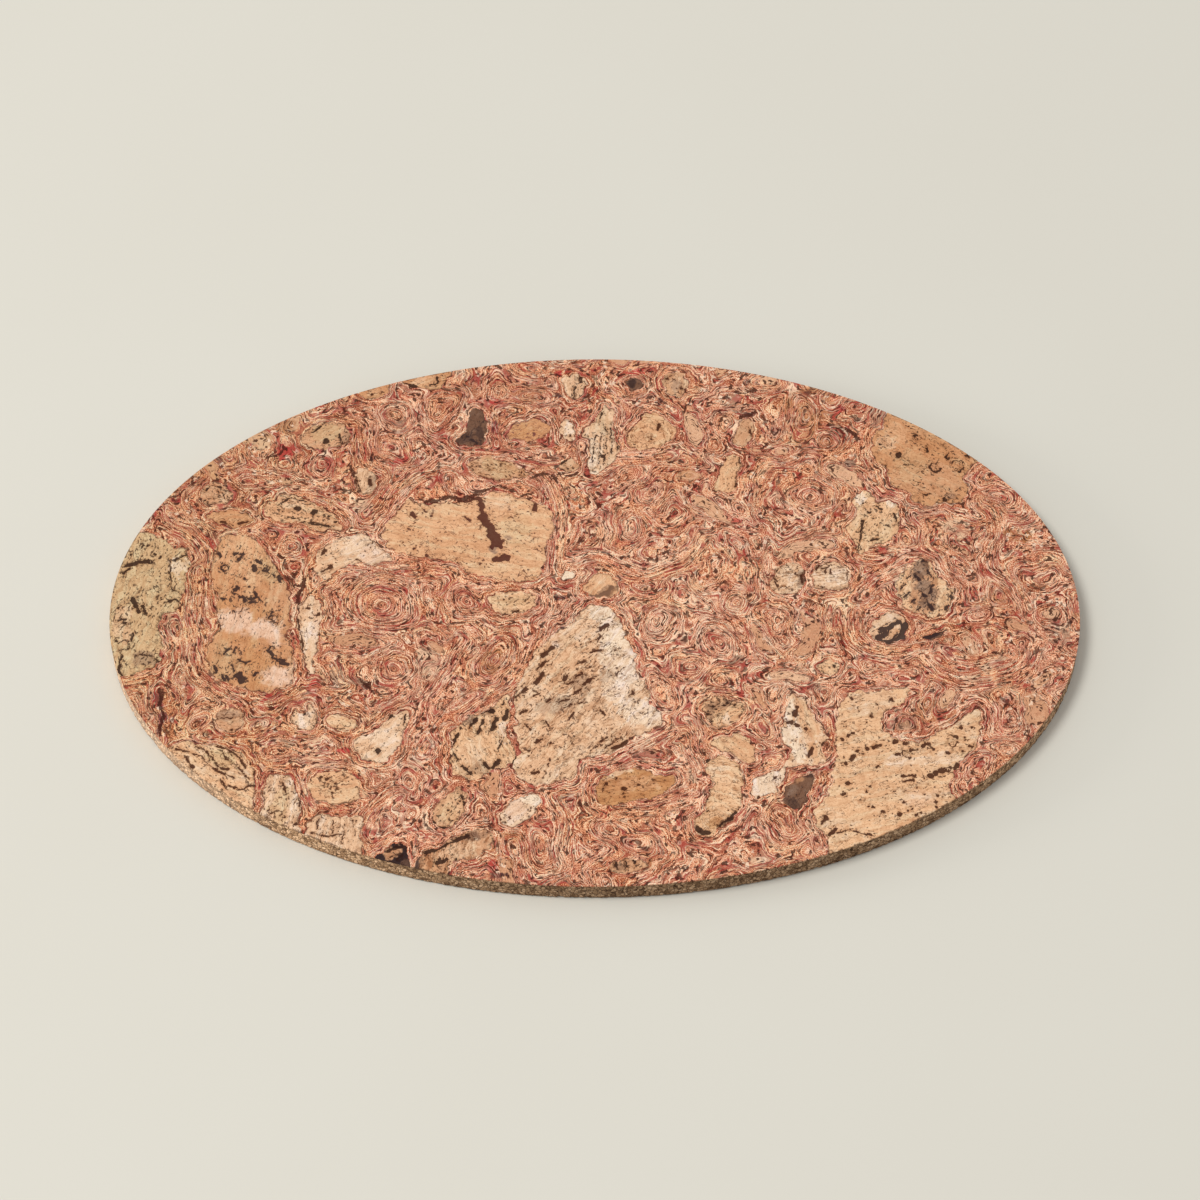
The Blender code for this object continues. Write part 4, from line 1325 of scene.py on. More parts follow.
bark_look(
    "amber_left", HONEY, CHAR, angle=80, lines=0.25, pores=0.25, soft=2.6,
    washes=[
        (PEACH, -165, 30, 12, 17, 0, 0.6), (OLIVE, -153, 24, 6, 10, 30, 0.6),
        (TAN, -146, 8, 6, 12, 0, 0.5), (RESIN, -172, 0, 5, 9, 0, 0.5), (RESIN, -157, -2, 14, 5, 0, 0.5),
        (RESIN, -164, -15, 12, 6, 0, 0.5), (BLUSH, -165, -6, 9, 6, -10, 0.9),
        (BLUSH, -156, -10, 10, 6, 10, 0.9), (BLUSH, -149, -13, 7, 5, 0, 0.8),
        (OLIVE, -171, -27, 8, 11, 0, 0.5), (RESIN, -157, -25, 6, 11, 20, 0.8),
        (RESIN, -155, -36, 7, 7, 0, 0.7), (BLUSH, -145, -37, 8, 5, 15, 1.0),
        (CREAM, -139, -31, 4, 5, 0, 0.7),
    ],
    marks=[
        (1.4, (-176, 33.5), (-175.5, 31.5)), (1.5, (-172, 34.5)), (1.2, (-169, 33), (-167, 34.5)),
        (1.1, (-165.5, 31.5), (-167, 29.5)), (1.9, (-159.5, 26.5), (-159, 24)),
        (1.2, (-158.5, 30), (-157.5, 28.5)), (1.1, (-157, 28.5), (-156, 27)),
        (0.8, (-154, 26), (-153, 23), (-151.5, 22)), (1.3, (-147.5, 20.5), (-146.5, 17.5)),
        (0.9, (-150, 21.5), (-149, 20.5)), (1.2, (-163.5, 19)), (1.0, (-161, 14)),
        (2.0, (-167.5, 12.5), (-166, 14)), (1.3, (-168, 10.5), (-165, 8.5)), (1.2, (-164, 9), (-162, 6)),
        (1.0, (-162, 8.5), (-159, 7), (-157, 8.5)), (1.1, (-160, 5.5), (-157, 5)),
        (1.2, (-158.5, 11.5), (-157, 9.5)), (1.0, (-156, 8), (-154.5, 6)), (1.8, (-174, 7.5), (-172.5, 7)),
        (1.0, (-167.5, 1), (-166.5, 0)), (0.9, (-165, -0.5), (-164, 0)),
        (0.7, (-150, 0), (-149, -5), (-147, -7)), (0.7, (-147, 0), (-146.5, -6)), (1.4, (-174.5, -8)),
        (1.3, (-141, -11), (-140.5, -13.5)), (1.4, (-151, -22), (-149, -19.5), (-147, -20.5)),
        (1.2, (-146, -27), (-142.5, -27.5)),
        (1.7, (-149.5, -22.5), (-148.5, -26), (-145, -28.5), (-141, -29.5)),
        (1.4, (-171, -24), (-169, -21)), (1.1, (-167, -23), (-165.5, -20), (-164, -22)),
        (0.9, (-164, -27), (-161, -29), (-158.5, -28)), (1.8, (-174.5, -31), (-174, -34.5)),
        (1.6, (-171.5, -35.5), (-169.5, -39)), (1.2, (-169, -36), (-168, -38.5)),
        (1.2, (-167, -30), (-165.5, -34)), (2.6, (-164.5, -36), (-161.5, -39.5)),
        (1.4, (-163, -34.5), (-160.5, -38)), (1.2, (-156.5, -36), (-155, -34)),
        (2.0, (-138.5, 9), (-138, 4)), (1.2, (-139, -35.5)),
    ],
    rings=[(-167, 31.5, 1.8), (-172.5, 25.5, 1.2), (-148, -3, 2.2), (-153.5, 25, 1.2)],
)
bark_look(
    "club", CREAM, PORE_BROWN, angle=88, lines=0.2, pores=0.1,
    washes=[(WHITE, -133, -12, 2, 9, 0, 0.6), (BLUSH, -129, -8, 2, 8, 0, 0.5)],
    marks=[
        (1.7, (-133.5, 2)), (1.6, (-130, -2), (-127.5, -1.5)),
        (0.9, (-138, -4), (-135.5, -15), (-133.5, -27)),
    ],
)
bark_look(
    "pale_wedge", CREAM, PORE_BROWN, angle=25, lines=0.3, pores=0.1,
    washes=[
        (WHITE, -112, 38, 9, 4, 15, 0.45), (BLUSH, -104, 34, 6, 5, 0, 0.5),
        (PEACH, -124, 29, 5, 6, 0, 0.4),
    ],
    marks=[
        (2.0, (-128, 33), (-126.5, 35)), (1.2, (-127, 23), (-123, 26)), (0.8, (-103, 44), (-104.5, 39)),
        (1.0, (-112, 30), (-109, 29)), (0.8, (-99, 38), (-96, 34)),
    ],
)
print(len(BARK), "looks so far")

# %% Bark at the upper left
bark_look(
    "knot", TAN, PORE_BLACK, angle=30, lines=0.2, pores=0.2,
    washes=[(OLIVE, -128, 103, 7, 6, 0, 0.6), (SMOKE, -119, 101, 3, 5, 0, 0.4)],
    marks=[
        (2.8, (-128.5, 100)), (0.8, (-138, 105), (-134, 106), (-131, 109)), (1.8, (-119, 105.5)),
        (0.9, (-122, 104), (-120, 98)), (1.0, (-116.5, 99), (-117, 103)),
    ],
)
bark_look(
    "ladder", TAN, PORE_BLACK, angle=-20, lines=0.6, pores=0.3,
    washes=[(CREAM, -174, 67, 4, 3, -30, 0.6)],
    marks=[
        (1.1, (-184, 71), (-181, 74), (-177, 72)), (0.6, (-178, 70), (-177, 66)),
        (0.6, (-176, 69), (-175, 65.5)), (0.6, (-174, 68), (-173, 65)), (1.4, (-180, 66)),
        (0.9, (-184, 65)), (0.9, (-183, 62.5), (-178, 62), (-174, 62)),
    ],
)
bark_look(
    "speckled", PEACH, PORE_BLACK, angle=-15, lines=0.4, pores=0.38,
    washes=[(CREAM, -142, 63, 8, 3, 0, 0.5), (TAN, -125, 52, 6, 4, -30, 0.6)],
    marks=[
        (3.2, (-140, 59)), (3.0, (-132.5, 57.5)), (2.0, (-147.5, 58)), (1.4, (-128, 56)),
        (1.3, (-125, 55)), (1.6, (-122, 52)), (0.9, (-150, 62), (-144, 66), (-136, 64)),
        (1.0, (-138, 52), (-131, 51), (-124, 49)), (1.0, (-136, 62)), (0.9, (-145, 55), (-140, 54)),
    ],
)
bark_look(
    "grey_sliver", CREAM, PORE_BROWN, angle=70, lines=0.3, pores=0.1,
    washes=[(SMOKE, -105, 75, 3, 5, 0, 0.5)],
    marks=[(1.0, (-113, 79), (-112.5, 74), (-111, 70)), (1.2, (-107, 77), (-106, 74))],
)
bark_look(
    "orange_left", HONEY, PORE_BROWN, angle=10, lines=0.2, pores=0.1,
    marks=[(1.1, (-176, 52), (-172, 51)), (1.1, (-168, 50.5), (-164, 52)), (1.0, (-163, 57))],
)
bark_look(
    "rim_orange", HONEY, PORE_BLACK, angle=20, lines=0.3, pores=0.15,
    washes=[(PEACH, -80, 136, 7, 3, 20, 0.7), (CREAM, -84, 137, 4, 2, 20, 0.5)],
    marks=[
        (2.4, (-92, 135), (-90, 134), (-87, 133)), (0.9, (-76, 139), (-75, 136)),
        (0.8, (-79, 134), (-76, 135)),
    ],
)
bark_look(
    "rim_small", HONEY, PORE_BROWN, angle=20, lines=0.2, pores=0.1,
    washes=[(PEACH, -105, 130, 4, 2, 20, 0.7)],
    marks=[(1.3, (-107, 128.5)), (1.0, (-103, 128.5))],
)
print(len(BARK), "looks so far")

# %% Bark at the lower left
bark_look(
    "heart", CREAM, PORE_BLACK, angle=100, lines=0.25, pores=0.1,
    washes=[(WHITE, -133, -60, 3, 4, 0, 0.5)],
    marks=[
        (1.0, (-138.5, -57.5), (-136.5, -54.5), (-134, -56)),
        (0.8, (-139, -60), (-137.5, -63.5), (-134, -66)), (0.7, (-127, -55), (-126, -60), (-127.5, -65)),
        (0.8, (-134, -55), (-132, -58)),
    ],
)
bark_look(
    "bean", SAND, PORE_BROWN, angle=-10, lines=0.2, pores=0.1,
    marks=[(0.9, (-120, -65), (-115, -65.5)), (0.8, (-110, -62))],
)
bark_look(
    "pebble", CREAM, PORE_BLACK, angle=40, lines=0.1, pores=0.08,
    washes=[(WHITE, -98, -70, 6, 7, 30, 0.4), (PEACH, -103, -77, 5, 4, 0, 0.3)],
    marks=[
        (2.6, (-98, -77.5)), (1.5, (-94, -60), (-93, -58.5)), (1.0, (-86.5, -58), (-87, -63)),
        (0.9, (-108, -74)),
    ],
)
bark_look(
    "green_lump", TAN, PORE_BROWN, angle=-8, lines=0.5, pores=0.2,
    washes=[(SMOKE, -168, -58, 5, 3, 0, 0.4), (TAN, -164, -64, 4, 3, 0, 0.5)],
    marks=[(1.1, (-160.5, -58)), (1.2, (-165.5, -66)), (0.8, (-172, -60), (-165, -59.5))],
)
bark_look(
    "rim_striped", SAND, PORE_BROWN, angle=-38, lines=0.4, pores=0.2,
    washes=[
        (OLIVE, -168, -81, 8, 4, -30, 0.7), (CREAM, -161, -90, 5, 5, -30, 0.5),
        (PEACH, -168, -103, 9, 6, -30, 0.5),
    ],
    marks=[
        (1.0, (-190, -77), (-184, -78), (-178, -81), (-175, -85), (-170, -89), (-163, -92)),
        (1.0, (-181, -75.5), (-177, -77), (-173.5, -81), (-171, -86), (-166, -88)),
        (1.0, (-172, -75), (-166, -77), (-161, -81), (-158, -87)),
        (0.8, (-169, -77.5), (-167, -82), (-163, -85), (-159, -89)),
        (1.0, (-165, -97), (-160, -99), (-156, -96.5), (-153, -96)),
        (1.2, (-186, -80), (-184, -84), (-182, -87)), (0.8, (-169, -93), (-166, -98)),
        (1.0, (-164, -83.5)), (0.8, (-161, -86), (-158, -91), (-156, -93)),
        (0.7, (-176, -78.5), (-174, -84)), (0.8, (-154, -88), (-153, -93)),
    ],
)
bark_look(
    "rim_pale", CREAM, PORE_BROWN, angle=78, lines=0.5, pores=0.35,
    washes=[(WHITE, -135, -105, 3, 6, 0, 0.5), (OLIVE, -141, -107, 4, 8, 0, 0.6)],
    marks=[
        (1.9, (-146.5, -111), (-145, -111)), (1.8, (-139.5, -113.5)), (1.1, (-146, -99)),
        (0.9, (-141, -95), (-139, -101)), (1.4, (-134, -117)), (0.9, (-133, -100), (-132.5, -108)),
    ],
)
bark_look(
    "rim_lined", CREAM, PORE_BROWN, angle=86, lines=0.5, pores=0.05,
    marks=[
        (0.6, (-124, -114), (-124.5, -120)), (0.6, (-117, -115), (-117.5, -122)),
        (0.6, (-112, -117), (-113, -128)), (0.6, (-108.5, -115), (-107, -124)),
        (0.8, (-127, -122), (-121, -123.5), (-114, -122.5)), (1.0, (-107, -115)),
    ],
)
bark_look(
    "pored", PEACH, PORE_BROWN, angle=5, lines=0.15, pores=0.5,
    marks=[
        (1.3, (-119, -97)), (1.3, (-117, -95)), (1.2, (-121, -93)), (1.3, (-123.5, -92)),
        (1.1, (-116, -98.5)), (1.4, (-120, -95.5)), (1.0, (-114, -94)), (1.0, (-118, -100)),
        (1.0, (-113, -92)), (1.1, (-122, -97.5)),
    ],
)
print(len(BARK), "looks so far")

# %% Large bark in the middle
bark_look(
    "cracked", PEACH, MAROON, angle=-12, lines=0.15, pores=0.22,
    washes=[
        (HONEY, -66, 38, 14, 9, -10, 0.35), (OLIVE, -36, 50, 10, 12, 0, 0.35),
        (CREAM, -46, 63, 8, 4, 0, 0.5), (SMOKE, -47.5, 36, 2, 1.6, 0, 0.8),
        (SMOKE, -40, 43, 1.6, 1.4, 0, 0.7), (HONEY, -88, 45, 7, 8, 0, 0.3),
    ],
    marks=[
        (2.2, (-55.5, 67), (-54, 64.5)), (3.2, (-53.5, 62.5)), (1.6, (-53.3, 60), (-53.2, 57)),
        (4.4, (-53, 55.5), (-51, 52.5)), (3.4, (-50, 50), (-49, 47.5)), (3.8, (-48.5, 46), (-47, 42.5)),
        (4.6, (-46.5, 41), (-45.5, 39.5)), (4.6, (-45, 30.5), (-42.5, 31.5)), (2.2, (-48, 37)),
        (1.8, (-80, 64), (-74, 64)), (2.2, (-66, 63.5), (-59, 65), (-56, 66.5)),
        (1.9, (-28, 61.5), (-28, 59.5)), (1.8, (-77, 55.5)), (2.0, (-78.5, 32.5)), (1.6, (-64, 28)),
        (1.2, (-65, 30)), (1.5, (-84.5, 36)), (1.7, (-86.5, 57), (-84.5, 54.5)), (1.0, (-36.5, 56.5)),
        (1.0, (-60.5, 55), (-58.5, 52.5)), (1.3, (-27, 36)), (1.0, (-54, 27.5)), (1.0, (-34, 23)),
        (0.9, (-28, 20)), (1.2, (-82, 60), (-79, 58)), (1.5, (-88, 48)), (0.9, (-90, 40)),
        (0.8, (-70, 46)), (0.8, (-62, 34)), (0.9, (-40, 55)), (0.8, (-31, 44)), (0.8, (-74, 41)),
    ],
)
bark_look(
    "rim_sooty", CHAR, PORE_BLACK, angle=50, lines=0.2, pores=0.0,
    washes=[(TAN, -88.5, -131.5, 5, 2.8, 30, 0.95), (UMBER, -84, -138, 3, 4, 0, 0.5)],
    marks=[
        (1.2, (-92, -132), (-89, -129.5), (-85, -129.5)), (1.1, (-91, -134.5), (-87, -132)),
        (1.0, (-88, -136), (-85, -133)),
    ],
)
bark_look(
    "rim_ribbed", TAN, PORE_BLACK, angle=86, lines=0.9, pores=0.1,
    washes=[
        (CHAR, -80, -136, 3, 5, 0, 0.9), (UMBER, -57, -124.5, 4, 2.5, 20, 0.8),
        (UMBER, -50, -123, 4, 2, 10, 0.5), (HONEY, -74, -139, 4, 4, 0, 0.6),
        (CREAM, -61, -131, 11, 4, 20, 0.7),
    ],
    marks=[
        (1.6, (-76, -133), (-70, -130), (-62, -126), (-56, -123.5)), (1.8, (-70, -138), (-66, -136.5)),
        (1.7, (-65, -139)), (1.2, (-69, -136)), (1.4, (-62, -135.5)),
    ],
)
bark_look(
    "pod", TAN, PORE_BLACK, angle=65, lines=0.35, pores=0.3,
    washes=[(SAND, -64, -110, 9, 9, 0, 0.6), (OLIVE, -66, -112, 4, 5, 0, 0.3)],
    marks=[
        (1.3, (-73, -114), (-71, -118.5), (-66, -119.5)), (1.3, (-61, -118.5), (-58.5, -113)),
        (1.2, (-58, -108), (-60, -102)), (1.6, (-60.5, -105)), (1.1, (-64, -115)), (1.0, (-66, -110)),
    ],
)
bark_look(
    "white_pebble", WHITE, PORE_BROWN, angle=40, lines=0.1, pores=0.05,
    washes=[(CREAM, -36, -112, 9, 7, 40, 0.6), (BLUSH, -37, -111, 6, 5, 40, 0.6)],
    marks=[(1.1, (-38, -114)), (1.0, (-40, -116)), (0.8, (-31, -108), (-29.5, -110)), (0.8, (-30, -113))],
)
bark_look(
    "triangle", CREAM, PORE_BROWN, angle=50, lines=0.7, pores=0.28,
    washes=[
        (PEACH, -14, -30, 13, 16, 20, 0.45), (PEACH, -16, -66, 16, 12, 0, 0.4),
        (WHITE, 4, 0, 6, 5, 0, 0.9), (WHITE, 8, -12, 6, 8, 20, 0.8), (WHITE, 11, -26, 8, 11, 10, 0.7),
        (WHITE, 12, -42, 9, 9, 0, 0.5), (WHITE, 20, -56, 9, 8, 0, 0.7), (PEACH, -26, -80, 9, 10, 0, 0.4),
        (SMOKE, -6, -41, 6, 5, 0, 0.45), (SMOKE, -18, -52, 8, 4, 10, 0.4), (SMOKE, 4, -36, 3, 3, 0, 0.4),
        (TAN, 8, -72, 9, 4, 35, 0.5), (BLUSH, -22, -14, 6, 5, 0, 0.5), (TAN, -4, -54, 9, 3, 15, 0.4),
    ],
    marks=[
        (1.8, (-24, -25), (-19.5, -20)), (1.8, (-26.5, -32.5), (-23, -28.5)),
        (1.9, (-27.5, -40.5), (-23.5, -35.5)), (1.3, (-34, -45.5), (-31.5, -43.5)),
        (1.2, (-36, -48), (-34.5, -46.5)), (1.8, (2.5, -10), (6, -7)), (1.4, (-14, -38.5), (-12.5, -36)),
        (1.4, (-9, -37.5), (-6, -35)), (1.4, (-5, -41), (-1, -37.5)), (1.1, (-10, -46.5), (-6, -43.5)),
        (0.9, (-13, -41), (-8, -39)), (2.1, (8.5, -76.5), (12, -74.5), (16.5, -71)), (1.1, (-2, -31)),
        (1.2, (4.5, -31)), (1.1, (9.5, -22)), (1.2, (-2.5, -17)), (1.1, (-6, -18.5)),
        (1.2, (17, -47), (17.5, -45)), (1.1, (9, -45)), (1.1, (18.5, -51)), (1.0, (2.5, -55), (5, -58)),
        (1.0, (-12, -60.5), (-9.5, -57)), (1.0, (-16, -50.5), (-12, -49)), (0.9, (-8, -52), (-5, -50.5)),
        (0.8, (-14, -54), (-10.5, -52)), (1.4, (-35.5, -75.5)), (1.2, (-26.5, -73), (-24, -71)),
        (1.1, (-20, -73)), (1.1, (-28.5, -89.5), (-25, -89.5)), (1.0, (-23, -90.5)),
        (0.8, (-21, -85.5), (-20, -82)), (1.0, (-16.5, -82.5)), (1.2, (-15, -92)),
        (0.7, (-22, -61.5), (-20, -66)), (0.7, (1, -74), (6, -70)), (0.7, (5, -76), (12, -70)),
        (0.6, (-1, -77), (3, -74)), (1.0, (-22, -50.5), (-20, -49)), (1.0, (-27.5, -47), (-25, -46)),
        (0.9, (-2, -23), (4, -21)), (1.3, (2, -16), (2.5, -13.5)), (0.9, (10, -36), (11, -33.5)),
        (0.8, (-32, -63), (-29, -66)), (0.8, (-8, -30), (-4, -28)), (1.0, (-34, -57), (-31, -55)),
        (0.8, (-30, -78), (-27, -76)), (0.7, (-11, -70), (-10, -75)), (0.8, (22, -57)),
    ],
)
bark_look(
    "fringed", SAND, PORE_BLACK, angle=112, lines=0.6, pores=0.1,
    washes=[
        (SMOKE, -57, -61, 3, 3, 0, 0.7), (UMBER, -50, -56, 5, 2.5, 30, 0.7),
        (CREAM, -48, -62, 4, 4, 0, 0.5), (CREAM, -56, -78, 7, 8, 0, 0.4), (UMBER, -50, -86, 6, 3, 20, 0.4),
        (WHITE, -42, -66, 3, 7, 0, 0.5),
    ],
    marks=[
        (2.4, (-54, -57), (-50, -54.5), (-47, -56)), (2.0, (-47, -66), (-45, -60)),
        (2.2, (-41, -60), (-40, -56)), (1.5, (-62, -68), (-65, -74)), (1.4, (-50, -84), (-48, -87)),
        (1.5, (-46, -87), (-43.5, -83)), (1.4, (-42, -52), (-41, -50)), (1.6, (-61, -65)),
        (1.3, (-57, -65), (-54, -60)), (1.3, (-53, -68), (-51, -61)), (1.2, (-60, -86), (-56, -90)),
        (1.0, (-44, -78), (-42, -72)), (1.0, (-64, -79), (-62, -82)),
    ],
)
bark_look(
    "amber", RESIN, PORE_BROWN, angle=12, lines=0.5, pores=0.12,
    washes=[
        (CREAM, 8, -91, 7, 1.3, 25, 0.9), (CREAM, 15, -88.5, 4, 1, 5, 0.8),
        (PEACH, 22, -95, 9, 4, -10, 0.5), (HONEY, 8, -96, 8, 5, 0, 0.4),
    ],
    marks=[
        (1.9, (5.5, -95.5)), (1.9, (13.5, -98)), (1.5, (10, -92.5)), (1.2, (13, -101)), (1.0, (4, -98)),
        (1.1, (20, -96)), (1.0, (27, -93)),
    ],
)
bark_look(
    "root", SAND, PORE_BLACK, centre=(54, -116), lines=0.9, pores=0.05,
    washes=[
        (RESIN, 54, -116, 3, 2.5, 0, 0.8), (CREAM, 56, -88, 5, 6, 0, 0.4),
        (UMBER, 60, -115.5, 5, 1.2, 35, 0.7),
    ],
    marks=[
        (1.5, (50.5, -84), (52, -81)), (2.4, (46, -119), (48, -122), (51, -122)),
        (1.8, (56, -118), (60, -115), (63.5, -111.5)), (0.9, (66, -85), (68.5, -89)), (1.0, (51, -110)),
        (0.9, (52, -99), (51, -104)),
    ],
)
print(len(BARK), "looks so far")

# %% Small bark in the middle
bark_look(
    "fan", CREAM, PORE_BLACK, angle=84, lines=0.2, pores=0.0,
    washes=[(WHITE, -1, 92, 3.5, 10, 0, 0.8), (OLIVE, 4, 112, 4, 8, 0, 0.3), (PEACH, 8, 94, 3, 5, 0, 0.4)],
    marks=[
        (0.6, (-1, 82), (-1, 92), (0.5, 104)), (0.6, (1, 84), (2.5, 93), (3, 103)),
        (0.6, (4, 86), (5.5, 94), (5.5, 102)), (0.6, (8, 92), (8, 99), (7.5, 108)), (1.7, (4, 91)),
        (0.6, (10, 102), (11, 96)), (1.2, (7, 120)), (0.6, (2, 112), (4, 119)), (0.6, (6, 105), (4, 110)),
        (0.6, (-3, 97), (-3.5, 104)),
    ],
)
bark_look(
    "dark_left", UMBER, CHAR, angle=75, lines=0.3, pores=0.15,
    washes=[
        (CHAR, -57, 110, 5, 12, 8, 0.1), (CHAR, -62, 101, 4, 3, 0, 0.5), (CHAR, -55, 106, 2, 6, 10, 0.6),
    ],
    marks=[(1.6, (-61, 103)), (1.2, (-59, 101), (-56, 99))],
)
bark_look(
    "white_sliver", CREAM, PORE_BROWN, angle=80, lines=0.1, pores=0.05,
    washes=[(WHITE, -12, 110, 2, 5, 0, 0.6)],
    marks=[(1.7, (-12, 103)), (1.4, (-11, 112))],
)
bark_look(
    "strip_lower", PEACH, PORE_BROWN, angle=80, lines=0.25, pores=0.08,
    marks=[(1.6, (69, 90), (69.5, 87)), (1.9, (66.5, 72.5), (67.5, 75)), (0.8, (63, 78))],
)
bark_look(
    "strip_upper", TAN, PORE_BROWN, angle=75, lines=0.25, pores=0.08,
    marks=[(1.0, (75, 103), (74, 107))],
)
bark_look(
    "long_lump", TAN, PORE_BROWN, angle=-22, lines=0.6, pores=0.3,
    washes=[(OLIVE, -47, 84, 9, 4, -20, 0.5), (HONEY, -36, 82, 5, 3, -20, 0.5)],
    marks=[(1.7, (-34.5, 81.5)), (1.1, (-50, 83)), (1.0, (-45, 86)), (0.9, (-40, 79)), (1.0, (-56, 85))],
)
bark_look(
    "ringed_lump", HONEY, PLUM, angle=30, lines=0.5, pores=0.2,
    washes=[(RESIN, -34, 105, 6, 4, 25, 0.5)],
    marks=[(1.3, (-31, 102)), (1.5, (-28.5, 104)), (1.0, (-38, 104))],
)
bark_look(
    "onion", PEACH, PORE_BROWN, centre=(26, 104), lines=1.0, pores=0.05,
    washes=[(TAN, 24, 102, 5, 4, 30, 0.5)],
    marks=[(1.4, (31, 110), (30, 107)), (1.0, (19, 98)), (1.1, (27, 101))],
)
bark_look(
    "chip", TAN, PORE_BLACK, angle=15, lines=0.4, pores=0.2,
    washes=[(CREAM, -15, 86, 5, 3, 15, 0.6)],
    marks=[(1.9, (-13, 83.5)), (1.2, (-16, 87), (-14, 88.5))],
)
bark_look(
    "top_stub", CREAM, PORE_BLACK, angle=85, lines=0.5, pores=0.15,
    washes=[(TAN, -7, 135, 2, 5, 0, 0.4)],
    marks=[
        (1.3, (-7, 140), (-6.5, 136)), (0.9, (-10, 127), (-9.5, 133)), (1.4, (-10, 125.5)),
        (1.2, (-14, 129)),
    ],
)
bark_look(
    "top_pod", TAN, PORE_BROWN, angle=75, lines=0.4, pores=0.3,
    washes=[(CREAM, 40, 136, 5, 4, 0, 0.45), (SMOKE, 38, 134, 2.5, 4, 0, 0.5)],
    marks=[(1.1, (35, 138)), (1.0, (42, 132))],
)
bark_look(
    "top_dark", UMBER, CHAR, angle=20, lines=0.2, pores=0.0,
    washes=[(CHAR, 18, 135, 2.5, 2, 0, 0.8)],
)
bark_look("white_chip", WHITE, PORE_BROWN, angle=40, lines=0.0, pores=0.0)
bark_look(
    "grey_foot", PEACH, UMBER, angle=50, lines=0.3, pores=0.1,
    marks=[(2.2, (2, 9), (5.5, 10.5), (8, 14)), (1.6, (-5, 10), (-1, 9))],
    washes=[(UMBER, 5.5, 12, 4, 2, 20, 0.6), (CREAM, 2, 18, 3, 3, 0, 0.5)],
)
bark_look(
    "ring_pod", SAND, PORE_BROWN, angle=12, lines=0.5, pores=0.25,
    washes=[(OLIVE, -37, 6, 7, 3, 10, 0.4)],
    marks=[(1.8, (-38, -0.5), (-35.5, 0.5)), (1.0, (-42, 7)), (1.0, (-32, 7))],
)
bark_look(
    "sooty", PEACH, PORE_BLACK, angle=30, lines=0.2, pores=0.4,
    washes=[
        (UMBER, 56, -51.5, 5, 3, 10, 0.5), (CHAR, 62, -50, 3, 1.6, 0, 0.6),
        (UMBER, 52.5, -56, 2, 4, 0, 0.5), (WHITE, 60, -61, 3, 3, 0, 0.5),
    ],
    marks=[
        (1.5, (54, -53)), (1.4, (57, -50.5)), (1.2, (59, -52.5)), (1.3, (52, -57.5)), (1.2, (56, -55)),
        (1.6, (53, -61.5)), (1.2, (61, -51.5)), (1.0, (56, -58)), (1.1, (64, -52.5)), (1.0, (67, -55)),
    ],
)
bark_look(
    "orange_cap", PEACH, PORE_BROWN, angle=-35, lines=0.45, pores=0.05,
    washes=[(PEACH, 62, -73, 5, 4, 0, 0.6)],
)
bark_look(
    "low_ribbed", TAN, PORE_BLACK, angle=72, lines=0.7, pores=0.1,
    washes=[(UMBER, 11, -139.5, 3, 2, 0, 0.5)],
    marks=[
        (1.2, (9.5, -138), (10.5, -141)), (1.1, (14, -136.5), (15, -140)), (1.0, (18, -136), (18.5, -139)),
    ],
)
print(len(BARK), "looks so far")

# %% Bark at the lower right
bark_look(
    "white_branch", CREAM, PORE_BROWN, angle=100, lines=0.2, pores=0.08,
    washes=[
        (WHITE, 89.5, -55, 3, 6, 0, 0.9), (WHITE, 88.5, -66, 4, 5, 0, 0.9),
        (WHITE, 91, -77, 4, 6, 20, 0.95), (WHITE, 76, -95, 6, 5, 20, 0.7), (WHITE, 84, -90, 4, 4, 40, 0.6),
        (PEACH, 97, -61, 3, 10, 25, 0.8), (PEACH, 101, -77, 4, 7, 0, 0.8), (BLUSH, 94, -88, 4, 2, 0, 0.5),
    ],
    marks=[
        (2.0, (91, -58.5), (92.5, -53.5)), (1.9, (88, -62), (90.5, -61.5)), (1.5, (92, -62.5), (93, -64)),
        (1.8, (96, -65.5)), (2.0, (97, -80.5), (99, -76)), (1.8, (104, -78), (105, -73)), (1.0, (91, -72)),
        (1.3, (74, -103)), (0.9, (89, -82)), (1.4, (82, -92)),
    ],
)
bark_look(
    "dark_right", UMBER, CHAR, angle=60, lines=0.35, pores=0.05,
    washes=[
        (HONEY, 93, -93.5, 3, 2, 20, 0.6), (SMOKE, 91, -99, 3, 3, 0, 0.4),
        (CHAR, 90, -106, 3, 2.5, 0, 0.5), (CHAR, 97, -91, 2, 2, 0, 0.6),
    ],
)
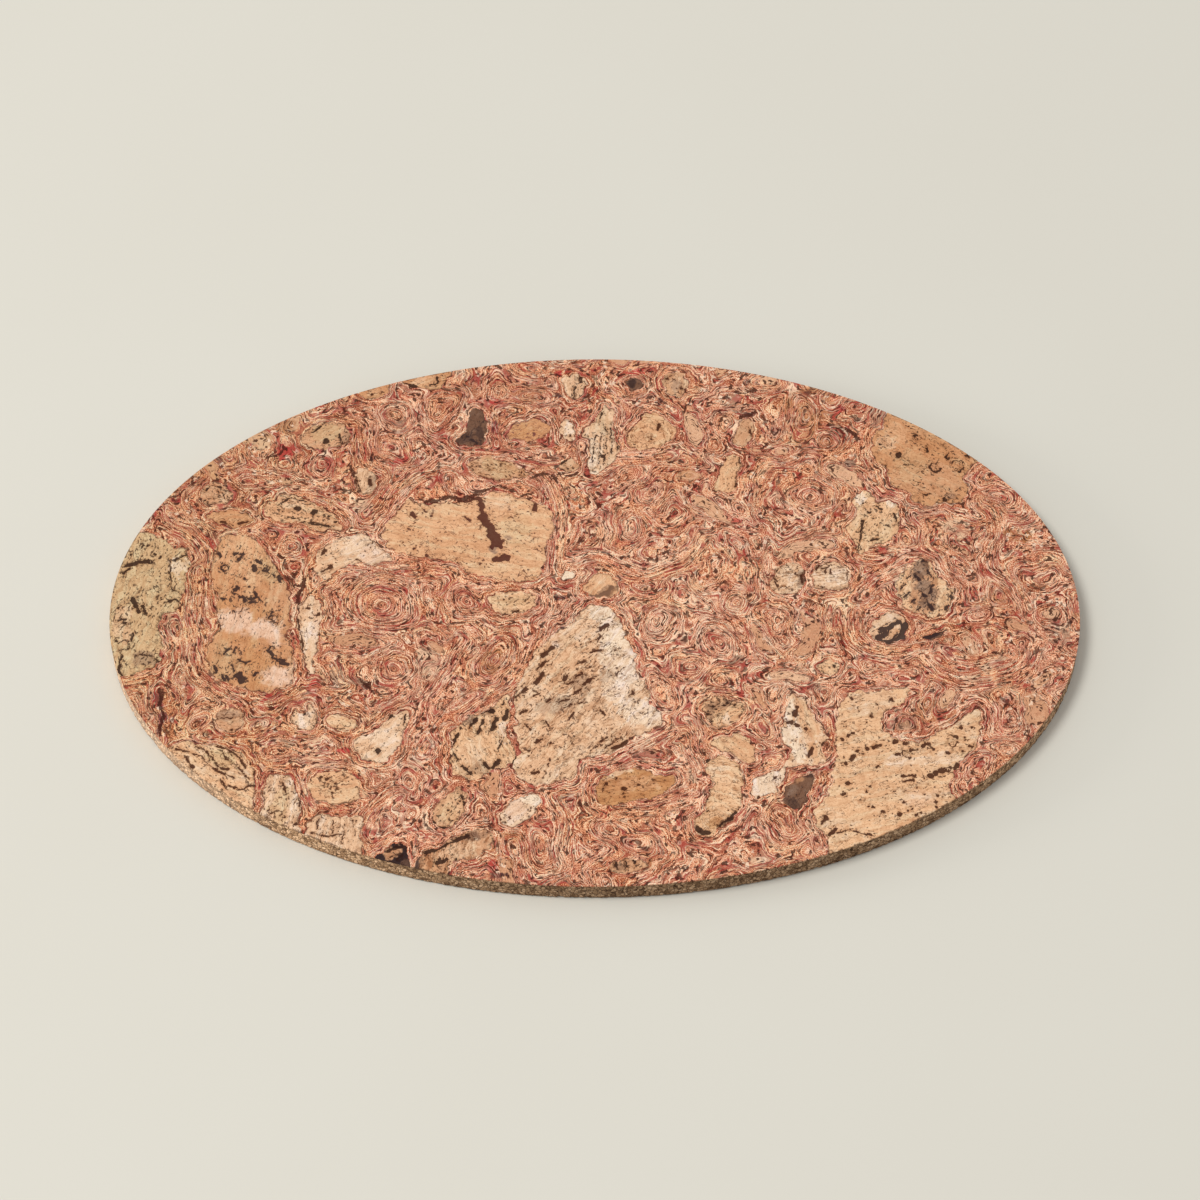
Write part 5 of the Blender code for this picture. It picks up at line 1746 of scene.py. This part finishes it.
bark_look(
    "right_rim", SAND, PORE_BROWN, angle=12, lines=0.3, pores=0.0,
    washes=[
        (CREAM, 127, -52, 12, 6, 10, 0.6), (WHITE, 145, -83, 17, 3, 5, 0.4),
        (CREAM, 170, -66, 4, 9, 20, 0.5), (CREAM, 107, -117, 6, 8, 0, 0.4),
        (HONEY, 118, -95, 9, 5, 0, 0.25), (BLUSH, 145, -104, 12, 6, 10, 0.3),
        (HONEY, 140, -118, 12, 4, 15, 0.3),
    ],
    marks=[
        (2.4, (113.5, -84)), (2.0, (116, -82.5), (118, -80.5)), (2.2, (119.5, -78)), (1.8, (121.5, -79.5)),
        (1.8, (124, -76.5)), (2.0, (127, -75.5), (130, -74.5)), (1.7, (131.5, -72)), (2.1, (149, -93)),
        (2.2, (152, -91.5)), (2.4, (154.5, -90)), (2.4, (157, -88.5)), (2.0, (160, -89)),
        (1.8, (161, -86.5)), (2.6, (164, -85.5)), (1.3, (139, -91), (145, -91)),
        (1.3, (140, -94.5), (144, -93)), (1.7, (143.5, -77.5), (147, -76.5)), (2.2, (149.5, -75)),
        (1.9, (151.5, -76.5)), (1.7, (154, -77)), (2.2, (137, -72.5)), (2.0, (141, -73.5)),
        (2.2, (113, -71.5)), (2.0, (115.5, -69.5)), (1.5, (113.5, -74)), (1.6, (117.5, -68)),
        (1.9, (137.5, -79.5)), (2.0, (167, -65)), (2.0, (172, -65)), (1.6, (168.5, -70)),
        (1.8, (171, -75)), (1.8, (167, -78)), (2.0, (160.5, -79)), (2.4, (114.5, -95.5)),
        (1.8, (112.5, -101)), (1.3, (128.5, -86)), (1.4, (123, -99.5)), (1.2, (125, -97)),
        (1.3, (135, -100)), (1.0, (133, -97.5)), (1.2, (139, -105)), (1.3, (123, -108)),
        (1.2, (125.5, -108)), (1.5, (130, -110.5)), (1.2, (132, -109.5)), (1.7, (137, -112)),
        (1.8, (143, -109)), (1.2, (141, -109.5)), (1.4, (144.5, -112.5)), (1.3, (147, -111)),
        (1.2, (154, -105)), (1.2, (155, -102)), (1.4, (157.5, -101.5)), (1.1, (149, -101)),
        (1.2, (154, -108)), (2.4, (102, -117), (104, -114)), (1.6, (106, -111.5)),
        (1.7, (105.5, -123), (108, -120)), (0.9, (109, -122), (115, -120.5), (124, -123)),
        (1.4, (112, -124)), (1.6, (118, -49)), (1.2, (129, -52)), (1.4, (136, -49.5)), (1.2, (121, -56)),
        (1.4, (126, -59)), (1.0, (115, -64)), (1.0, (120.5, -66.5)), (1.0, (124, -62)), (0.9, (122, -50)),
        (1.0, (140, -99)), (0.9, (131, -103)), (1.0, (128, -113)), (0.9, (118, -90)), (1.0, (120, -105)),
        (0.9, (146, -98)), (0.8, (151, -96)), (0.9, (134, -92)), (1.0, (119, -53)),
    ],
    rings=[(141.5, -80, 1.6), (162, -72, 2.2), (151.5, -75.5, 1.5), (161, -88, 1.6)],
)
print(len(BARK), "looks so far")

# %% Bark at the upper right
bark_look(
    "star", SAND, PORE_BLACK, angle=60, lines=0.2, pores=0.25,
    washes=[
        (WHITE, 125, 66, 3, 3, 0, 0.9), (WHITE, 140, 62.5, 3, 1.5, -20, 0.8),
        (OLIVE, 131, 48, 8, 8, 0, 0.25),
    ],
    marks=[
        (1.1, (126.5, 53), (125.5, 47), (124.5, 41), (123.5, 35)), (1.9, (129.5, 58)),
        (1.3, (133, 61), (135, 59.5)), (1.2, (133, 50)), (1.2, (137, 45)), (1.4, (141, 57), (142, 53)),
        (1.0, (127, 63)), (1.1, (130, 41), (133, 42)), (0.9, (131, 54)), (0.9, (138, 50)),
    ],
)
bark_look(
    "upper_rim", HONEY, PORE_BLACK, angle=-30, lines=0.3, pores=0.22,
    washes=[
        (TAN, 158, 78, 12, 12, 0, 0.5), (CREAM, 139, 98, 5, 5, 0, 0.5), (RESIN, 160, 98, 9, 5, -30, 0.4),
        (OLIVE, 150, 82, 6, 9, 0, 0.3), (SMOKE, 168, 67, 2, 2, 0, 0.5), (PEACH, 145, 106, 5, 5, 0, 0.5),
    ],
    marks=[
        (2.3, (144.5, 92), (144.5, 91)), (1.4, (158, 95.5), (158.5, 94)), (1.3, (136, 98.5)),
        (1.4, (138, 84.5)), (1.6, (156.5, 68)), (1.6, (153.5, 63.5)), (1.2, (150, 109)), (1.0, (153, 74)),
        (1.0, (160, 72)), (1.0, (148, 86)), (1.2, (178, 90), (177, 91.5)), (0.9, (156, 82)),
        (1.0, (166, 97)),
    ],
    rings=[(154.5, 101.5, 1.8), (162, 84.5, 1.8), (169.5, 91.5, 1.6), (172, 85.5, 2.4), (168.5, 67, 2.6)],
)
bark_look(
    "ridged_left", CREAM, PORE_BROWN, angle=22, lines=1.0, pores=0.1,
    washes=[(WHITE, 90, 22, 4, 4, 0, 0.4), (SMOKE, 96.5, 19, 1.8, 3.5, 0, 0.7)],
    marks=[
        (0.9, (84, 17), (85.5, 14), (86, 12.5)), (0.7, (84, 22), (86.5, 25.5), (89, 28)),
        (0.8, (83.5, 19), (85, 17.5)), (1.2, (96.5, 21), (97, 17)), (0.6, (88, 26), (90, 27)),
        (0.6, (89, 14), (91, 12.5)), (0.6, (93, 24), (94, 21)),
    ],
)
bark_look(
    "ridged_right", CREAM, PORE_BROWN, angle=12, lines=0.8, pores=0.05,
    washes=[(WHITE, 111, 20, 7, 4, 0, 0.6), (UMBER, 105, 26, 2.8, 1.6, 30, 0.7)],
    marks=[
        (1.1, (103, 24.5), (106, 27)), (0.9, (106, 24.5), (109.5, 26.5)), (0.7, (108.2, 24.5), (108, 22)),
        (0.7, (110, 24.8), (110, 21.5)), (0.6, (112, 27), (114.5, 25.5)), (0.7, (117.5, 22), (118, 18)),
        (0.6, (104, 15), (107, 13.8)),
    ],
)
bark_look(
    "smoky", SAND, CHAR, angle=60, lines=0.4, pores=0.35,
    washes=[
        (TAN, 153, 15, 6, 15, 0, 0.9), (SMOKE, 153, 24, 4, 5, 0, 0.8), (UMBER, 155, 28, 2.5, 2, 0, 0.9),
        (UMBER, 151, 19, 2, 3, 0, 0.8), (SMOKE, 155, 12, 4, 6, 0, 0.8), (UMBER, 153, 8, 2, 3, 0, 0.7),
        (UMBER, 157, 3, 2.5, 3, 0, 0.8), (PEACH, 162, 10, 3, 6, 0, 0.5),
    ],
    marks=[
        (1.6, (153, 28.5), (156, 30)), (1.5, (150, 21), (151, 18)), (1.3, (155, 24), (157, 20)),
        (1.5, (151.5, 12), (153.5, 9)), (1.4, (157.5, 15), (156, 11)), (1.6, (155, 5), (157, 1)),
        (1.5, (163, 2), (165, 3.5)), (0.9, (143, 13), (145, 15.5)), (0.9, (144, 8), (146.5, 11)),
        (0.9, (146, 19), (147.5, 21)), (0.9, (147, 5), (149, 7.5)), (1.0, (150, 1), (151.5, 3)),
        (0.8, (166, 12), (165.8, 6)),
    ],
)
bark_look(
    "dark_tip", CREAM, CHAR, angle=35, lines=0.2, pores=0.05,
    washes=[(HONEY, 138.5, -11, 2.5, 3, 40, 0.5)],
    marks=[
        (3.0, (132, -11.5), (136.5, -8.5), (141, -5.5)), (4.2, (142.8, -8), (142.8, -14.5)),
        (4.4, (131.5, -14.5), (134, -13)), (3.2, (131, -16.5), (136, -17), (141, -16.5)),
        (1.4, (136.5, -9.5), (135.5, -13)), (1.2, (140.5, -11.5), (137.5, -16)),
    ],
)
bark_look(
    "dark_sliver", UMBER, CHAR, angle=20, lines=0.2, pores=0.0,
    marks=[(2.1, (152, -15), (156, -13.5), (160, -12))],
)
bark_look(
    "small_pale", SAND, PORE_BLACK, angle=10, lines=0.2, pores=0.1,
    marks=[(2.2, (110, -30.5)), (0.9, (104, -33))],
)
print(len(BARK), "looks in all")

# %% [markdown]
# ## Cutting the bark
#
# Each piece is a plate like the sheet, on a finer grid, so that pores and cracks are real pits a quarter
# of a millimetre deep. The same numbers that shape a pit also go to the finish, so colour and shape agree.


# %% Cutting the bark
BARK_STEP = 0.5
PIT_DEPTH = 0.25
RING_RADIUS = 20


def grain_place(x, y, look):
    """Two lengths in mm, across and along the growth lines.

    With an angle they are the turned axes. With a centre they are the distance from it and the angle round
    it times the usual distance.
    """
    if "centre" in look:
        off_x, off_y = x - look["centre"][0], y - look["centre"][1]
        return np.hypot(off_x, off_y), RING_RADIUS * np.arctan2(off_y, off_x)
    angle = math.radians(look["angle"])
    return y * math.cos(angle) - x * math.sin(angle), x * math.cos(angle) + y * math.sin(angle)


def cut_bark(node, loop, seed):
    """The plate of one piece of bark, with the numbers that its finish needs stored on its points."""
    look = BARK[node]
    low, high = loop.min(axis=0) - 2 * BARK_STEP, loop.max(axis=0) + 2 * BARK_STEP
    x, y = np.meshgrid(np.arange(low[0], high[0], BARK_STEP), np.arange(low[1], high[1], BARK_STEP))
    distance, closest = outline_distance(x, y, loop)
    spots, squares, sides = plate_outline(x, y, distance, closest)
    edge, _ = outline_distance(*spots.T, loop)
    edge = np.maximum(-edge, 0)
    mark = mark_distance(*spots.T, look.get("marks", ()), look.get("rings", ()), seed)
    washes = washed(*spots.T, look.get("washes", ()), seed + 5, look.get("soft", 0.5))
    across, along = grain_place(*spots.T, look)
    tint = np.array(look["tint"]) * (1 - washes[:, 3:]) + washes
    tint[:, 3] = 1
    stain = np.tile(look["stain"], (len(spots), 1))
    height = TOP_LEVEL - 0.01 - 0.06 * smooth_step(0.7, 0.0, edge)
    height += 0.01 * smooth_noise(*spots.T, 4, seed)
    height -= PIT_DEPTH * smooth_step(0.2, -0.4, mark)
    mesh, ends = plate_mesh(node + "_cut", spots, squares, sides, height, FACE_LEVEL)
    give_values(mesh, ends, tint=tint, stain=stain, edge=edge, mark=mark, across=across, along=along)
    same = np.ones(len(spots))
    give_values(mesh, ends, lines=look["lines"] * same, pores=look["pores"] * same)
    return mesh


print("the bark is cut on a grid of", BARK_STEP, "mm")


# %% [markdown]
# ## Finish of the bark
#
# The tint is mottled. Fibres and growth lines run along the grain, thin cracks wander over it, and small
# pores are dashes along the grain. Bark dust and glue leave a broken dark line at the edge of a piece.


# %% Bark finish
BARK_SHADE = (0.66, 0.54, 0.45, 1)
BARK_PALER = (0.60, 0.68, 0.76, 1)
GROWTH_SHADE = (0.46, 0.32, 0.22, 1)


def bark_finish(name):
    """A finish for bark that reads its tints, marks and growth lines from the points of the piece."""
    finish, shader, place = new_finish(name)
    dust = place.noise(0.8, detail=2, **FLAT)
    cloud = place.noise(5, detail=4, roughness=0.6, **FLAT)
    bent = place.attribute("across") + (place.noise(7, **FLAT) - 0.5) * 4
    bent = bent + (place.noise(1.6, **FLAT) - 0.5) * 1.2

    def grained(fine, long, shift):
        """Noise that changes quickly across the grain and slowly along it."""
        vector = bent.node("CombineXYZ", {0: bent * fine + shift, 1: place.attribute("along") * long})
        return vector.noise(1, detail=1, **FLAT)

    tint = place.attribute("tint", "Color")
    tint = (cloud.rise(0.48, 0.70) * 0.28).blend(tint, BARK_SHADE, "MULTIPLY")
    tint = ((1 - cloud).rise(0.52, 0.70) * 0.35).blend(tint, BARK_PALER, "OVERLAY")
    tint = (dust.rise(0.54, 0.66) * 0.45).blend(tint, BARK_SHADE, "MULTIPLY")
    tint = (grained(0.3, 0.03, 31.0).rise(0.50, 0.66) * 0.40).blend(tint, BARK_PALER, "OVERLAY")
    tint = (grained(0.35, 0.04, 47.0).rise(0.50, 0.66) * 0.25).blend(tint, BARK_SHADE, "MULTIPLY")
    tint = (grained(1.8, 0.15, 0.0).rise(0.52, 0.74) * 0.40).blend(tint, BARK_SHADE, "MULTIPLY")
    streak = 1 - abs(grained(0.6, 0.05, 9.0) - 0.5).rise(0.02, 0.07)
    streak = streak * place.attribute("lines") * place.noise(4, **FLAT).rise(0.32, 0.6)
    tint = (streak * 0.85).blend(tint, GROWTH_SHADE, "MULTIPLY")
    crack = 1 - abs(place.noise(4.5, detail=3, **FLAT) - 0.5).rise(0.004, 0.020)
    crack = crack * (place.noise(9, **FLAT) + place.attribute("lines") * 0.15).rise(0.50, 0.62)
    near = 1 - place.attribute("mark").rise(0.5, 4.5)
    pores = grained(1.0, 0.55, 17.0) + place.attribute("pores") * 0.16 + near * 0.07
    pores = pores.rise(0.71, 0.74) * (place.noise(8, **FLAT) + near * 0.15).rise(0.36, 0.56)
    edge = place.attribute("edge") + (dust - 0.5) * 1.4
    dark_edge = (1 - edge.rise(0.05, 0.6)) * place.noise(4, **FLAT).rise(0.44, 0.58)
    mark = place.attribute("mark") + (dust - 0.5) * 0.9
    pit = (1 - mark.rise(-0.12, 0.08)).larger(pores * 0.85)
    pit = pit.larger(dark_edge * 0.75).larger(crack * 0.7)
    tint = ((1 - mark.rise(0.0, 1.0)) * 0.4).blend(tint, BARK_SHADE, "MULTIPLY")
    smudge = near * place.noise(2.6, detail=2, **FLAT).rise(0.50, 0.62)
    tint = (smudge * 0.4).blend(tint, BARK_SHADE, "MULTIPLY")
    tint = (pit * 0.93).blend(tint, place.attribute("stain", "Color"))
    plug(tint, shader, "Base Color")
    plug(0.48 + pit * 0.3 + dust * 0.12, shader, "Roughness")
    relief = 1 - pit - streak * 0.3 - dust * 0.2
    bump = pit.node("Bump", {"Height": relief, "Strength": 0.4, "Distance": 0.0003})
    plug(bump, shader, "Normal")
    shader.inputs["Specular IOR Level"].default_value = 0.12
    return finish


bark_slots = sorted({slot_of[node] for node in bark_nodes})
bark_finishes = {slot: bark_finish(slot) for slot in bark_slots}
for number, node in enumerate(bark_nodes):
    bark_mesh = cut_bark(node, outlines[node], 500 + 7 * number)
    put_in_place(node + "_cut", bark_mesh, bark_finishes[slot_of[node]], node)
print(len(bark_nodes), "pieces of bark set into the sheet")
